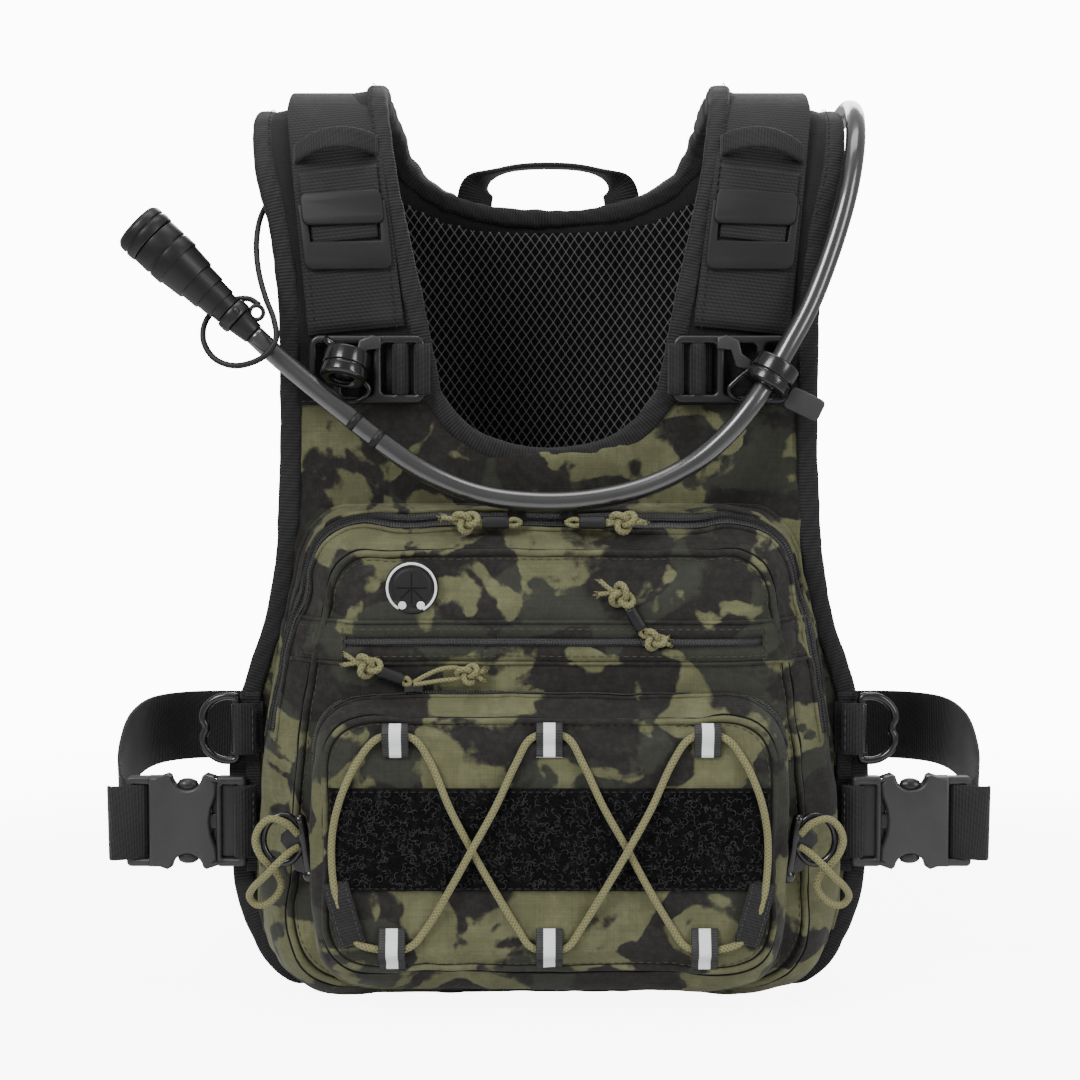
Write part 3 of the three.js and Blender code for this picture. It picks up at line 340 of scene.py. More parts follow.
def slab(name, outline, y0, y1, material, body="vest", bevel=0.6, segments=2, holes=()):
    """Plate of an X-Z outline between two depths, with rounded edges, and with holes."""
    curve = bpy.data.curves.new(name, "CURVE")
    curve.dimensions = "2D"
    curve.fill_mode = "BOTH"
    for ring_points in [outline] + list(holes):
        spline = curve.splines.new("POLY")
        spline.points.add(len(ring_points) - 1)
        for i, (x, z) in enumerate(ring_points):
            spline.points[i].co = (x * MM, z * MM, 0, 1)
        spline.use_cyclic_u = True
    curve.extrude = max(1e-5, (abs(y1 - y0) / 2 - bevel) * MM)
    curve.bevel_depth = bevel * MM
    curve.bevel_resolution = segments
    curve.offset = -bevel * MM
    source = bpy.data.objects.new(name, curve)
    SCENE.collection.objects.link(source)
    bpy.context.view_layer.update()
    me = bpy.data.meshes.new_from_object(source.evaluated_get(
        bpy.context.evaluated_depsgraph_get()))
    bpy.data.objects.remove(source)
    turn = Matrix(((1, 0, 0, 0), (0, 0, -1, (y0 + y1) / 2 * MM), (0, 1, 0, 0), (0, 0, 0, 1)))
    me.transform(turn)
    ob = bpy.data.objects.new(name, me)
    SCENE.collection.objects.link(ob)
    mend(me, 2e-6)
    me.materials.clear()
    me.materials.append(material)
    me.polygons.foreach_set("use_smooth", [True] * len(me.polygons))
    mod = ob.modifiers.new("sharp", "EDGE_SPLIT")
    mod.split_angle = math.radians(50)
    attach(ob, body)
    return ob


def rounded_rect(x0, x1, z0, z1, r, n=5):
    out = []
    for cx, cz, a0 in ((x1 - r, z1 - r, 0), (x0 + r, z1 - r, 90), (x0 + r, z0 + r, 180),
                       (x1 - r, z0 + r, 270)):
        for k in range(n + 1):
            a = math.radians(a0 + 90 * k / n)
            out.append((cx + r * math.cos(a), cz + r * math.sin(a)))
    return out


# ------------------------------------------------------------------ materials
class Look:
    """A procedural material; the methods add nodes and return their output sockets."""

    def __init__(self, name, rough=0.6, spec=0.5, metal=0.0, sheen=0.0, coat=0.0):
        self.material = bpy.data.materials.new(name)
        self.material.use_nodes = True
        self.tree = self.material.node_tree
        self.bsdf = self.tree.nodes["Principled BSDF"]
        self.bsdf.inputs["Roughness"].default_value = rough
        self.bsdf.inputs["Specular IOR Level"].default_value = spec
        self.bsdf.inputs["Metallic"].default_value = metal
        if sheen:
            self.bsdf.inputs["Sheen Weight"].default_value = sheen
            self.bsdf.inputs["Sheen Roughness"].default_value = 0.45
        if coat:
            self.bsdf.inputs["Coat Weight"].default_value = coat
            self.bsdf.inputs["Coat Roughness"].default_value = 0.12
        self.object_place = None
        self.uv_place = None

    def new(self, kind):
        return self.tree.nodes.new(kind)

    def link(self, a, b):
        self.tree.links.new(a, b)

    def place(self):
        if self.object_place is None:
            self.object_place = self.new("ShaderNodeTexCoord").outputs["Object"]
        return self.object_place

    def uv(self):
        if self.uv_place is None:
            node = self.new("ShaderNodeUVMap")
            node.uv_map = "uvm"
            split = self.new("ShaderNodeSeparateXYZ")
            self.link(node.outputs["UV"], split.inputs[0])
            self.uv_place = (split.outputs[0], split.outputs[1])
        return self.uv_place

    def xyz(self):
        split = self.new("ShaderNodeSeparateXYZ")
        self.link(self.place(), split.inputs[0])
        return split.outputs[0], split.outputs[1], split.outputs[2]

    def put(self, value, socket):
        if isinstance(value, (int, float)):
            socket.default_value = value
        else:
            self.link(value, socket)

    def math(self, operation, a, b=0.0, c=None):
        node = self.new("ShaderNodeMath")
        node.operation = operation
        self.put(a, node.inputs[0])
        self.put(b, node.inputs[1])
        if c is not None:
            self.put(c, node.inputs[2])
        return node.outputs[0]

    def noise(self, scale, detail=3.0, rough=0.5, distortion=0.0, vector=None):
        node = self.new("ShaderNodeTexNoise")
        node.inputs["Scale"].default_value = scale
        node.inputs["Detail"].default_value = detail
        node.inputs["Roughness"].default_value = rough
        node.inputs["Distortion"].default_value = distortion
        self.link(vector if vector is not None else self.place(), node.inputs["Vector"])
        return node.outputs["Fac"]

    def shifted(self, offset, scale=(1, 1, 1)):
        node = self.new("ShaderNodeMapping")
        node.inputs["Location"].default_value = offset
        node.inputs["Scale"].default_value = scale
        self.link(self.place(), node.inputs["Vector"])
        return node.outputs[0]

    def ramp(self, value, stops):
        node = self.new("ShaderNodeValToRGB")
        e = node.color_ramp.elements
        e[0].position, e[0].color = stops[0][0], tuple(stops[0][1]) + (1,)
        e[1].position, e[1].color = stops[-1][0], tuple(stops[-1][1]) + (1,)
        for at, color in stops[1:-1]:
            x = e.new(at)
            x.color = tuple(color) + (1,)
        self.link(value, node.inputs[0])
        return node.outputs[0]

    def step(self, value, low, high):
        node = self.new("ShaderNodeMapRange")
        node.interpolation_type = "SMOOTHSTEP"
        self.put(value, node.inputs[0])
        node.inputs[1].default_value = low
        node.inputs[2].default_value = high
        return node.outputs[0]

    def mix(self, share, a, b, blend="MIX"):
        node = self.new("ShaderNodeMix")
        node.data_type = "RGBA"
        node.blend_type = blend
        self.put(share, node.inputs[0])
        for value, socket in ((a, node.inputs[6]), (b, node.inputs[7])):
            if isinstance(value, tuple):
                socket.default_value = value + (1,) if len(value) == 3 else value
            else:
                self.link(value, socket)
        return node.outputs[2]

    def wave(self, value, per_metre):
        """0 to 1 to 0 over each repeat."""
        turn = self.math("MULTIPLY", value, 2 * math.pi * per_metre)
        return self.math("MULTIPLY_ADD", self.math("SINE", turn), 0.5, 0.5)

    def color(self, value):
        self.link(value, self.bsdf.inputs["Base Color"])

    def rough(self, value):
        self.link(value, self.bsdf.inputs["Roughness"])

    def bump(self, height, strength, distance_mm, after=None):
        node = self.new("ShaderNodeBump")
        node.inputs["Strength"].default_value = strength
        node.inputs["Distance"].default_value = distance_mm * MM
        self.link(height, node.inputs["Height"])
        if after is not None:
            self.link(after, node.inputs["Normal"])
        self.link(node.outputs[0], self.bsdf.inputs["Normal"])
        return node.outputs[0]

    def cloth_weave(self, per_metre):
        """Plain weave that reads on a face of any direction: crossed threads along X, Y and Z."""
        wx, wy, wz = (self.wave(c, per_metre) for c in self.xyz())
        return self.math("ADD", self.math("MULTIPLY", wx, 0.5),
                         self.math("ADD", self.math("MULTIPLY", wz, 0.5),
                                   self.math("MULTIPLY", wy, 0.2)))


def scaled(color, k):
    return tuple(c * k for c in color)


def make_camo():
    m = Look("camo_ripstop", rough=0.85, spec=0.22, sheen=0.08)
    dark, mid, olive, light = ((0.0120, 0.0108, 0.0108), (0.0290, 0.0310, 0.0235),
                               (0.118, 0.120, 0.058), (0.160, 0.163, 0.084))
    wide = m.shifted((0.313, 0.171, 0.42), (1.0, 0.8, 1.12))
    blobs = m.noise(25, 2.9, 0.46, 0.7, wide)
    second = m.noise(23, 2.9, 0.46, 0.6, m.shifted((1.71, 0.63, 2.37), (0.95, 0.8, 1.15)))
    ragged = m.noise(130, 3.0, 0.6, 0.3, m.shifted((3.1, 2.2, 0.7)))
    edge = m.math("MULTIPLY_ADD", ragged, 0.10, -0.05)
    first_in = m.math("ADD", blobs, edge)
    second_in = m.math("ADD", second, edge)
    is_mid = m.step(second_in, 0.505, 0.545)
    is_olive = m.step(first_in, 0.488, 0.524)
    is_light = m.step(m.noise(60, 3.0, 0.6, 0.4, m.shifted((5.2, 1.1, 4.4))), 0.40, 0.70)
    base = m.mix(is_mid, dark, mid)
    green = m.mix(is_light, olive, light)
    worn = m.noise(240, 4.0, 0.7, 0.0)
    printed = m.mix(is_olive, base, green)
    mottled = m.mix(m.math("MULTIPLY", m.step(worn, 0.35, 0.75), 0.55), printed,
                    m.mix(0.5, printed, (0.06, 0.058, 0.045)))
    slub_z = m.noise(90, 2.0, 0.6, 0.0, m.shifted((0, 0, 0), (0.35, 0.35, 16)))
    slub_x = m.noise(90, 2.0, 0.6, 0.0, m.shifted((2, 1, 3), (16, 16, 0.35)))
    thread = m.math("MULTIPLY_ADD", m.math("ADD", slub_z, slub_x), 0.9, -0.4)
    shade = m.mix(0.34, mottled, m.ramp(thread, [(0.25, (0.35, 0.35, 0.35)),
                                                 (0.75, (1.0, 1.0, 1.0))]), "MULTIPLY")
    big = m.noise(7, 2.0, 0.5)
    m.color(m.mix(m.math("MULTIPLY", big, 0.22), shade, (0.03, 0.03, 0.026)))
    weave = m.cloth_weave(880)
    b1 = m.bump(weave, 0.32, 0.22)
    m.bump(m.math("ADD", thread, m.math("MULTIPLY", worn, 0.5)), 0.30, 0.5, b1)
    return m.material


def make_black_cloth(name="black_cloth", level=0.010, per_metre=620, sheen=0.2, strength=0.5):
    m = Look(name, rough=0.82, spec=0.24, sheen=sheen * 0.6)
    tint = (level, level, level * 1.03)
    patches = m.noise(30, 4.0, 0.6)
    fine = m.noise(900, 2.0, 0.6)
    c = m.mix(m.step(patches, 0.3, 0.75), scaled(tint, 0.75), scaled(tint, 1.35))
    weave = m.cloth_weave(per_metre)
    c = m.mix(m.math("MULTIPLY", m.step(weave, 0.35, 1.0), 0.5), scaled(tint, 0.5), c)
    m.color(m.mix(m.math("MULTIPLY", fine, 0.35), c, scaled(tint, 2.0)))
    b1 = m.bump(weave, strength, 0.35)
    m.bump(patches, 0.25, 1.2, b1)
    return m.material


def make_webbing(name="webbing", level=0.011, per_metre=760, cross=260, depth=0.45, rough=0.7):
    """Woven tape: fine ribs across it, and a coarser twill along it."""
    m = Look(name, rough=rough, spec=0.3, sheen=0.1)
    u, v = m.uv()
    tint = (level, level, level * 1.04)
    um = m.math("MULTIPLY", u, MM)
    vm = m.math("MULTIPLY", v, MM)
    ribs = m.wave(um, per_metre)
    twill = m.wave(m.math("ADD", vm, m.math("MULTIPLY", um, 0.6)), cross)
    wear = m.noise(60, 4.0, 0.65)
    height = m.math("ADD", m.math("MULTIPLY", ribs, 0.75), m.math("MULTIPLY", twill, 0.3))
    c = m.mix(m.step(height, 0.1, 1.0), scaled(tint, 0.45), scaled(tint, 1.6))
    m.color(m.mix(m.math("MULTIPLY", m.step(wear, 0.45, 0.8), 0.35), c, scaled(tint, 2.4)))
    m.bump(height, depth, 0.5)
    return m.material


def make_mesh_cloth(name, level, cell, strand, back=0.006):
    """Open diamond mesh over a dark layer."""
    m = Look(name, rough=0.8, spec=0.1)
    x, _, z = m.xyz()
    p = m.math("MULTIPLY", x, 1000 / cell[0])
    q = m.math("MULTIPLY", z, 1000 / cell[1])
    warp = m.math("MULTIPLY_ADD", m.noise(45, 2.0), 0.30, -0.15)
    d = []
    for sign in (1, -1):
        s = m.math("ADD", m.math("ADD", p, m.math("MULTIPLY", q, sign)), warp)
        d.append(m.math("ABSOLUTE", m.math("SUBTRACT", m.math("FRACT", s), 0.5)))
    strand_at = m.math("MAXIMUM", d[0], d[1])
    on = m.step(strand_at, 0.5 - strand, 0.5 - strand * 0.35)
    knot = m.step(m.math("MINIMUM", d[0], d[1]), 0.5 - strand * 1.5, 0.5)
    tint = (level, level, level * 1.04)
    c = m.mix(on, (back, back, back * 1.05), tint)
    m.color(m.mix(m.math("MULTIPLY", knot, 0.6), c, scaled(tint, 1.7)))
    m.bump(on, 0.8, 0.9)
    return m.material


def make_loops():
    m = Look("loop_pile", rough=0.95, spec=0.08, sheen=0.04)
    curl = m.noise(420, 3.0, 0.75, 2.2)
    clump = m.noise(120, 3.0, 0.6, 1.0)
    # the ramp is the pile's near-black colour, lighter where the curl and clump noises are high, as
    # the bumps are: its brightest stop is a painted highlight on the tops of the curls
    c = m.ramp(m.math("MULTIPLY_ADD", clump, 0.5, m.math("MULTIPLY", curl, 0.6)),
               [(0.35, (0.0006, 0.0006, 0.0006)), (0.60, (0.0035, 0.0035, 0.0036)),
                (0.82, (0.034, 0.034, 0.035))])
    m.color(c)
    b1 = m.bump(curl, 1.0, 1.7)
    m.bump(clump, 0.5, 1.6, b1)
    return m.material


def make_plastic(name, level=0.03, rough=0.42, grain=0.25, tint=(1, 1, 1.04), coat=0.0,
                 spec=0.5):
    m = Look(name, rough=rough, spec=spec, coat=coat)
    base = tuple(level * t for t in tint)
    spots = m.noise(1500, 2.0, 0.5)
    cloud = m.noise(25, 4.0, 0.6)
    c = m.mix(m.step(cloud, 0.3, 0.8), scaled(base, 0.8), scaled(base, 1.25))
    m.color(m.mix(m.math("MULTIPLY", m.step(spots, 0.5, 0.8), 0.3), c, scaled(base, 1.8)))
    m.rough(m.math("MULTIPLY_ADD", cloud, 0.16, rough - 0.08))
    m.bump(spots, grain, 0.12)
    return m.material


def make_cord(name, light, dark):
    """Braided cord from the sweep's own coordinates."""
    per_metre, steepness = 520, 0.8
    m = Look(name, rough=0.72, spec=0.3, sheen=0.15)
    u, v = m.uv()
    um = m.math("MULTIPLY", u, MM)
    vm = m.math("MULTIPLY", v, MM * steepness)
    a = m.wave(m.math("ADD", um, vm), per_metre)
    b = m.wave(m.math("SUBTRACT", um, vm), per_metre)
    braid = m.math("MAXIMUM", a, m.math("MULTIPLY", b, 0.9))
    fibre = m.noise(900, 3.0, 0.6)
    c = m.mix(m.step(braid, 0.45, 0.98), dark, light)
    m.color(m.mix(m.math("MULTIPLY", fibre, 0.3), c, scaled(dark, 0.8)))
    m.bump(m.math("ADD", braid, m.math("MULTIPLY", fibre, 0.25)), 0.55, 0.45)
    return m.material


def make_stripe():
    """Woven loop tape with a reflective stripe along its middle."""
    m = Look("stripe_tape", rough=0.55, spec=0.4)
    u, v = m.uv()
    ribs = m.wave(m.math("MULTIPLY", u, MM), 800)
    glint = m.noise(2200, 2.0, 0.5)
    across = m.math("ABSOLUTE", v)
    on = m.math("SUBTRACT", 1.0, m.step(across, 2.7, 3.0))
    black = m.mix(ribs, (0.008, 0.008, 0.0085), (0.028, 0.028, 0.03))
    white = m.mix(m.math("MULTIPLY", glint, 0.5), (0.80, 0.81, 0.82), (0.60, 0.61, 0.63))
    m.color(m.mix(on, black, white))
    m.bump(ribs, 0.3, 0.3)
    return m.material


def make_zip():
    """Coated zip tape with fine teeth across it."""
    m = Look("zip_tape", rough=0.5, spec=0.45)
    teeth = m.wave(m.math("MULTIPLY", m.uv()[0], MM), 720)
    cloud = m.noise(70, 3.0, 0.6)
    c = m.mix(teeth, (0.005, 0.005, 0.0055), (0.026, 0.026, 0.028))
    m.color(m.mix(m.math("MULTIPLY", cloud, 0.3), c, (0.03, 0.03, 0.03)))
    m.bump(teeth, 0.6, 0.5)
    return m.material


def make_thread(name, color):
    m = Look(name, rough=0.65, spec=0.35)
    fibre = m.noise(1600, 2.0, 0.5)
    m.color(m.mix(fibre, scaled(color, 0.7), scaled(color, 1.3)))
    m.bump(fibre, 0.3, 0.1)
    return m.material


CAMO = make_camo()
CLOTH = make_black_cloth()
CLOTH_FINE = make_black_cloth("shoulder_cloth", 0.009, 900, 0.2, 0.4)
# a darker copy of the black cloth: painted shadow lines beside the piping, and the cable port's
# slits
SHADOW_AND_SLIT_CLOTH = make_black_cloth("shadow_and_slit_cloth", 0.004, 500, 0.1, 0.3)
BINDING = make_webbing("binding_tape", 0.0085, 620, 150, 0.6)
WEBBING = make_webbing()
STRAP_WEB = make_webbing("strap_webbing", 0.0095, 680, 300, 0.5)
WIDE_WEB = make_webbing("wide_webbing", 0.012, 560, 420, 0.35, 0.75)
MESH = make_mesh_cloth("spacer_mesh", 0.070, (4.9, 7.0), 0.12, 0.0008)
MESH_PAD = make_mesh_cloth("pad_mesh", 0.022, (3.2, 4.4), 0.2)
LOOPS = make_loops()
PLASTIC = make_plastic("satin_plastic", 0.026, 0.42)
PLASTIC_DARK = make_plastic("dark_plastic", 0.009, 0.36)
GLOSS = make_plastic("gloss_plastic", 0.0055, 0.22, 0.08, coat=0.2)
RUBBER = make_plastic("matte_rubber", 0.008, 0.52, 0.3, spec=0.34)
RUBBER_GLOSS = make_plastic("valve_rubber", 0.006, 0.4, 0.15, spec=0.42)
HOSE = make_plastic("hose_rubber", 0.013, 0.28, 0.05, coat=0.8, spec=0.9)
WHITE = make_plastic("white_print", 0.75, 0.5, 0.1, (1, 1, 1))
CORD = make_cord("olive_cord", (0.235, 0.225, 0.105), (0.125, 0.118, 0.052))
STRIPE = make_stripe()
ZIP = make_zip()
THREAD = make_thread("black_thread", (0.012, 0.012, 0.013))
THREAD_GREY = make_thread("grey_thread", (0.05, 0.05, 0.05))
THREAD_OLIVE = make_thread("olive_thread", (0.055, 0.052, 0.03))
PILE_FIBRE = make_thread("pile_fibre", (0.034, 0.034, 0.035))
FILM = make_plastic("bladder_film", 0.45, 0.22, 0.1, (0.85, 1.0, 1.08), coat=0.3)


# ------------------------------------------------------------------ camera, light and floor
AMBIENT, BACKDROP = 0.5, 12.0  # light from all round, and how bright the backdrop looks
FLOOR_LIFT = 0.62  # share of the backdrop's brightness that the floor near the vest gives
FLOOR_Z = -0.0018  # metres; the binding's lowest point is at -0.0016


def strength_for_camera(tree, seen, node, low, high):
    """Makes a light node strong for rays from the camera and weak for all others."""
    level = tree.nodes.new("ShaderNodeMapRange")
    level.inputs[3].default_value = low
    level.inputs[4].default_value = high
    tree.links.new(seen.outputs["Is Camera Ray"], level.inputs[0])
    tree.links.new(level.outputs[0], node.inputs["Strength"])
    return node


def lamp(name, at, look, size, power, size_y):
    light = bpy.data.lights.new(name, "AREA")
    light.energy = power
    light.shape = "RECTANGLE"
    light.size = size
    light.size_y = size_y
    ob = bpy.data.objects.new(name, light)
    ob.location = at
    ob.rotation_euler = (Vector(look) - Vector(at)).to_track_quat("-Z", "Y").to_euler()
    SCENE.collection.objects.link(ob)


def make_stage():
    aim = Vector((-4.5, -50.0, 228.5)) * MM
    tilt = math.radians(4.0)
    away = 1200.0 * MM
    data = bpy.data.cameras.new("camera")
    data.lens = 80.0
    data.sensor_width = 36.0
    data.clip_end = 60.0
    camera = bpy.data.objects.new("camera", data)
    camera.location = aim + Vector((0, -math.cos(tilt) * away, math.sin(tilt) * away))
    camera.rotation_euler = (math.radians(90) - tilt, 0, 0)
    SCENE.collection.objects.link(camera)
    SCENE.camera = camera

    world = bpy.data.worlds.new("studio")
    SCENE.world = world
    world.use_nodes = True
    back = world.node_tree.nodes["Background"]
    back.inputs["Color"].default_value = (1.0, 1.0, 1.0, 1.0)
    seen = world.node_tree.nodes.new("ShaderNodeLightPath")
    strength_for_camera(world.node_tree, seen, back, AMBIENT, BACKDROP)

    me = bpy.data.meshes.new("floor")
    rings, n = [0.0, 0.3, 0.6, 0.9, 1.3, 2.0, 4.0, 12.0, 40.0], 48
    verts = [(0, 0, 0)]
    for r in rings[1:]:
        verts += [(x, y, 0) for x, y in circle_profile(r, n)]
    faces = [(0, 1 + k, 1 + (k + 1) % n) for k in range(n)]
    for i in range(len(rings) - 2):
        a, b = 1 + i * n, 1 + (i + 1) * n
        for k in range(n):
            q = (k + 1) % n
            faces.append((a + k, b + k, b + q, a + q))
    me.from_pydata(verts, [], faces)
    floor = bpy.data.objects.new("floor", me)
    floor.location.z = FLOOR_Z
    SCENE.collection.objects.link(floor)
    m = bpy.data.materials.new("pale_floor")
    m.use_nodes = True
    tree = m.node_tree
    bsdf = tree.nodes["Principled BSDF"]
    bsdf.inputs["Base Color"].default_value = (0.93, 0.93, 0.93, 1)
    bsdf.inputs["Roughness"].default_value = 0.9
    seen = tree.nodes.new("ShaderNodeLightPath")

    glow, lift = (strength_for_camera(tree, seen, tree.nodes.new("ShaderNodeEmission"), low, high)
                  for low, high in ((AMBIENT, BACKDROP), (0.0, BACKDROP * FLOOR_LIFT)))
    near = tree.nodes.new("ShaderNodeAddShader")
    tree.links.new(bsdf.outputs[0], near.inputs[0])
    tree.links.new(lift.outputs[0], near.inputs[1])
    place = tree.nodes.new("ShaderNodeTexCoord")
    length = tree.nodes.new("ShaderNodeVectorMath")
    length.operation = "LENGTH"
    fade = tree.nodes.new("ShaderNodeMapRange")
    fade.inputs[1].default_value = 0.32
    fade.inputs[2].default_value = 0.95
    fade.interpolation_type = "SMOOTHSTEP"
    blend = tree.nodes.new("ShaderNodeMixShader")
    tree.links.new(place.outputs["Object"], length.inputs[0])
    tree.links.new(length.outputs["Value"], fade.inputs[0])
    tree.links.new(fade.outputs[0], blend.inputs[0])
    tree.links.new(near.outputs[0], blend.inputs[1])
    tree.links.new(glow.outputs[0], blend.inputs[2])
    tree.links.new(blend.outputs[0], tree.nodes["Material Output"].inputs[0])
    me.materials.append(m)
    lamp("key", (-1.1, -1.5, 1.55), (0, 0, 0.22), 0.8, 38.0, 0.8)
    lamp("fill", (1.35, -1.15, 0.8), (0, 0, 0.22), 0.45, 15.0, 1.2)
    lamp("top", (0.0, -0.1, 1.7), (0, 0, 0.2), 1.2, 12.0, 0.8)
    lamp("rim", (0.3, 1.5, 1.1), (0, 0, 0.25), 1.2, 12.0, 0.6)


make_stage()

# ------------------------------------------------------------------ hose, tether and cord loops
VALVE_BASE = np.array([-146.0, -58.0, 331.0])
VALVE_AXIS = unit_vector([-0.73, 0.0, 0.683])


def on_valve(along, front, up):
    """Point beside the valve: along its axis from its base, in front of it and above it."""
    p = VALVE_BASE + VALVE_AXIS * along + unit_vector([0.683, 0, 0.73]) * up
    return (p[0], p[1] - front, p[2])


HOSE_ROUTE = [
    (66, 102.2, 352.8), (70, 102.4, 364), (80, 103, 378), (97, 104.5, 394), (117, 106, 409),
    (136, 105, 422), (150, 96, 436), (157, 80, 446), (158.5, 60, 450), (158.5, 36, 450.5),
    (158, 12, 447), (156.5, -10, 439), (154, -28, 424), (149.5, -38, 402), (141, -43.5, 374),
    (130, -48, 346), (119.5, CLIP_Y + 2, 326.5), (110.5, CLIP_Y, 311), (101, -57.5, 297),
    (88, -59.5, 281.5), (70, -61, 266.5), (47, -62, 255.5), (20, -62.5, 249.5),
    (-8, -62.5, 248.5), (-36, -62.5, 252.5), (-62, -62.5, 263.5), (-85, -62, 279.5),
    (-106, -61, 296.5), (-123, -59, 310.5), (-136.5, -58, 322.1),
    tuple(VALVE_BASE - VALVE_AXIS * 0.3),
]
TETHER_ROUTE = [
    (-133, -13, 410), (-139.5, -15, 403), (-145.5, -22, 392), (-147, -33, 378),
    (-145, -43, 363), (-140.5, -52, 349), (-135.5, -61, 338), (-134, -67, 328),
    (-139, -68.5, 320.5), (-147, -67, 316.5), (-156, -64, 315.5), (-165, -61, 319),
    (-170.5, -58, 327), (-170.5, -54.5, 336), (-165, -51.5, 344), (-157, -49.5, 348),
    (-149, -51.5, 348.5), (-143.5, -56.0, 345.5)]
CORD_LOOP_ROUTE = [(x, y + 3.7, z) for x, y, z in (
    (122.8, -90.4, 86.5), (126.3, -91.6, 90.8), (131, -92.6, 94), (136.5, -93, 94.8),
    (141.5, -93, 90.5), (143.5, -92.8, 84), (141.5, -92.3, 77.5), (137, -91, 71.5),
    (132.8, -89.6, 66.5), (131.4, -88, 61), (134, -86.5, 55.5), (139.3, -84.5, 51),
    (144.2, -83.5, 50.4), (147.4, -85, 54.5), (145, -89.5, 60.3), (138.6, -94.6, 67),
    (132.6, -96.6, 73.5), (126.6, -93.2, 78.6), (122.6, -90.4, 80.6))]


def cord_piece(name, route, diameter, material, body, sides=16, step=1.5):
    path = smooth_line(route, step)
    return tube(name, path, diameter / 2, material, body, sides=sides), path


def declare(ob, path, diameter, **facts):
    points = [tuple(p * MM) for p in path]
    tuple(points[0])
    round(line_length(path) * MM, 4)


def make_cords():
    """The hose comes back with its line."""
    hose, path = cord_piece("drinking_hose", HOSE_ROUTE, 10.0, HOSE, "vest", 24, 2.0)
    tag(hose, "hose", "hydration_hose")
    tether, tpath = cord_piece("valve_tether_cord", TETHER_ROUTE, 3.0, RUBBER, "vest", 12, 1.0)
    tag(tether, "rubber", "valve_tether")
    declare(tether, tpath, 3.0, far_end="object", stiffness="limp", lay="hanging")
    for side, k in SIDES:
        route = CORD_LOOP_ROUTE if k > 0 else mirrored(CORD_LOOP_ROUTE)
        loop, lpath = cord_piece(f"{side}_paracord_loop", route, 3.6, CORD, f"{side}_clip_hook",
                                 14, 1.0)
        tag(loop, "cord", f"{side}_cord_loop")
        declare(loop, lpath, 3.6, far_end="object", stiffness="limp", lay="hanging")
    return hose, path


DRINKING_HOSE, HOSE_LINE = make_cords()


# ------------------------------------------------------------------ soft bodies
DEPS = bpy.context.evaluated_depsgraph_get


def bake(ob):
    """Applies an object's modifiers to its mesh."""
    bpy.context.view_layer.update()
    me = bpy.data.meshes.new_from_object(ob.evaluated_get(DEPS()))
    old = ob.data
    ob.modifiers.clear()
    ob.data = me
    bpy.data.meshes.remove(old)
    return ob


def soft_copy(name, node, material, voxel, smooth):
    """A free copy of a CAD solid as an even mesh with softened edges."""
    me = frame["nodes"][node].data.copy()
    me.name = name
    me.materials.clear()
    ob = bpy.data.objects.new(name, me)
    SCENE.collection.objects.link(ob)
    bm = bmesh.new()
    bm.from_mesh(me)
    bmesh.ops.remove_doubles(bm, verts=bm.verts, dist=1e-5)
    bm.to_mesh(me)
    bm.free()
    mod = ob.modifiers.new("even", "REMESH")
    mod.mode = "VOXEL"
    mod.voxel_size = voxel * MM
    soften = ob.modifiers.new("soften", "SMOOTH")
    soften.iterations = smooth
    soften.factor = 0.5
    bake(ob)
    ob.data.name = name
    ob.data.materials.append(material)
    return ob


def read(me, what):
    """Points ("co") or normals ("normal") of a mesh, one row each."""
    rows = np.zeros(len(me.vertices) * 3, np.float32)
    me.vertices.foreach_get(what, rows)
    return rows.reshape(-1, 3).astype(float)


def get_points(ob):
    return read(ob.data, "co") / MM


def set_points(ob, co):
    ob.data.vertices.foreach_set("co", (co * MM).astype(np.float32).ravel())
    ob.data.update()


def puff(ob, cap, fixed):
    """Inflates the piece as cloth, moving no point further than cap; fixed says which points
    stay put."""
    rest = get_points(ob)
    mod = ob.modifiers.new("cloth", "CLOTH")
    s = mod.settings
    s.quality = 5
    s.mass = 0.25
    s.tension_stiffness = 18
    s.compression_stiffness = 18
    s.shear_stiffness = 8
    s.bending_stiffness = 1.2
    s.use_pressure = True
    s.uniform_pressure_force = 4.0
    s.effector_weights.gravity = 0
    mod.collision_settings.use_collision = False
    first, last = 1, 20
    mod.point_cache.frame_start = first
    mod.point_cache.frame_end = last
    group = ob.vertex_groups.new(name="held")
    group.add([int(i) for i in np.nonzero(fixed)[0]], 1.0, "REPLACE")
    s.vertex_group_mass = "held"
    for f in range(first, last + 1):
        SCENE.frame_set(f)
    moved = read(ob.evaluated_get(DEPS()).to_mesh(), "co") / MM - rest
    ob.evaluated_get(DEPS()).to_mesh_clear()
    ob.modifiers.clear()
    ob.vertex_groups.clear()
    SCENE.frame_set(first)
    size = np.maximum(1e-9, np.linalg.norm(moved, axis=1))
    set_points(ob, rest + moved * np.minimum(1.0, cap / size)[:, None])


def wrinkle(ob, layers, seed, mask=None):
    """Pushes points along their normals by fractal noise: pairs of (size in mm, depth in mm)."""
    co = get_points(ob)
    push = np.zeros(len(co))
    for k, (size, depth) in enumerate(layers):
        off = Vector((seed + 13.1 * k, seed * 1.7 + 5.3 * k, 2.9 * k))
        push += depth * np.array([noise.noise(Vector(p) / size + off) for p in co])
    if mask is not None:
        push *= mask(co)
    set_points(ob, co + read(ob.data, "normal") * push[:, None])


def subdivide(ob):
    mod = ob.modifiers.new("fine", "SUBSURF")
    mod.levels = 1
    mod.render_levels = 1
    bake(ob)


def finish_soft(ob, node, slot):
    ob.data.polygons.foreach_set("use_smooth", [True] * len(ob.data.polygons))
    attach(ob, "vest")
    tag(ob, slot, node)


def tree_of(ob):
    return BVHTree.FromPolygons([v.co.copy() for v in ob.data.vertices],
                                [tuple(p.vertices) for p in ob.data.polygons])


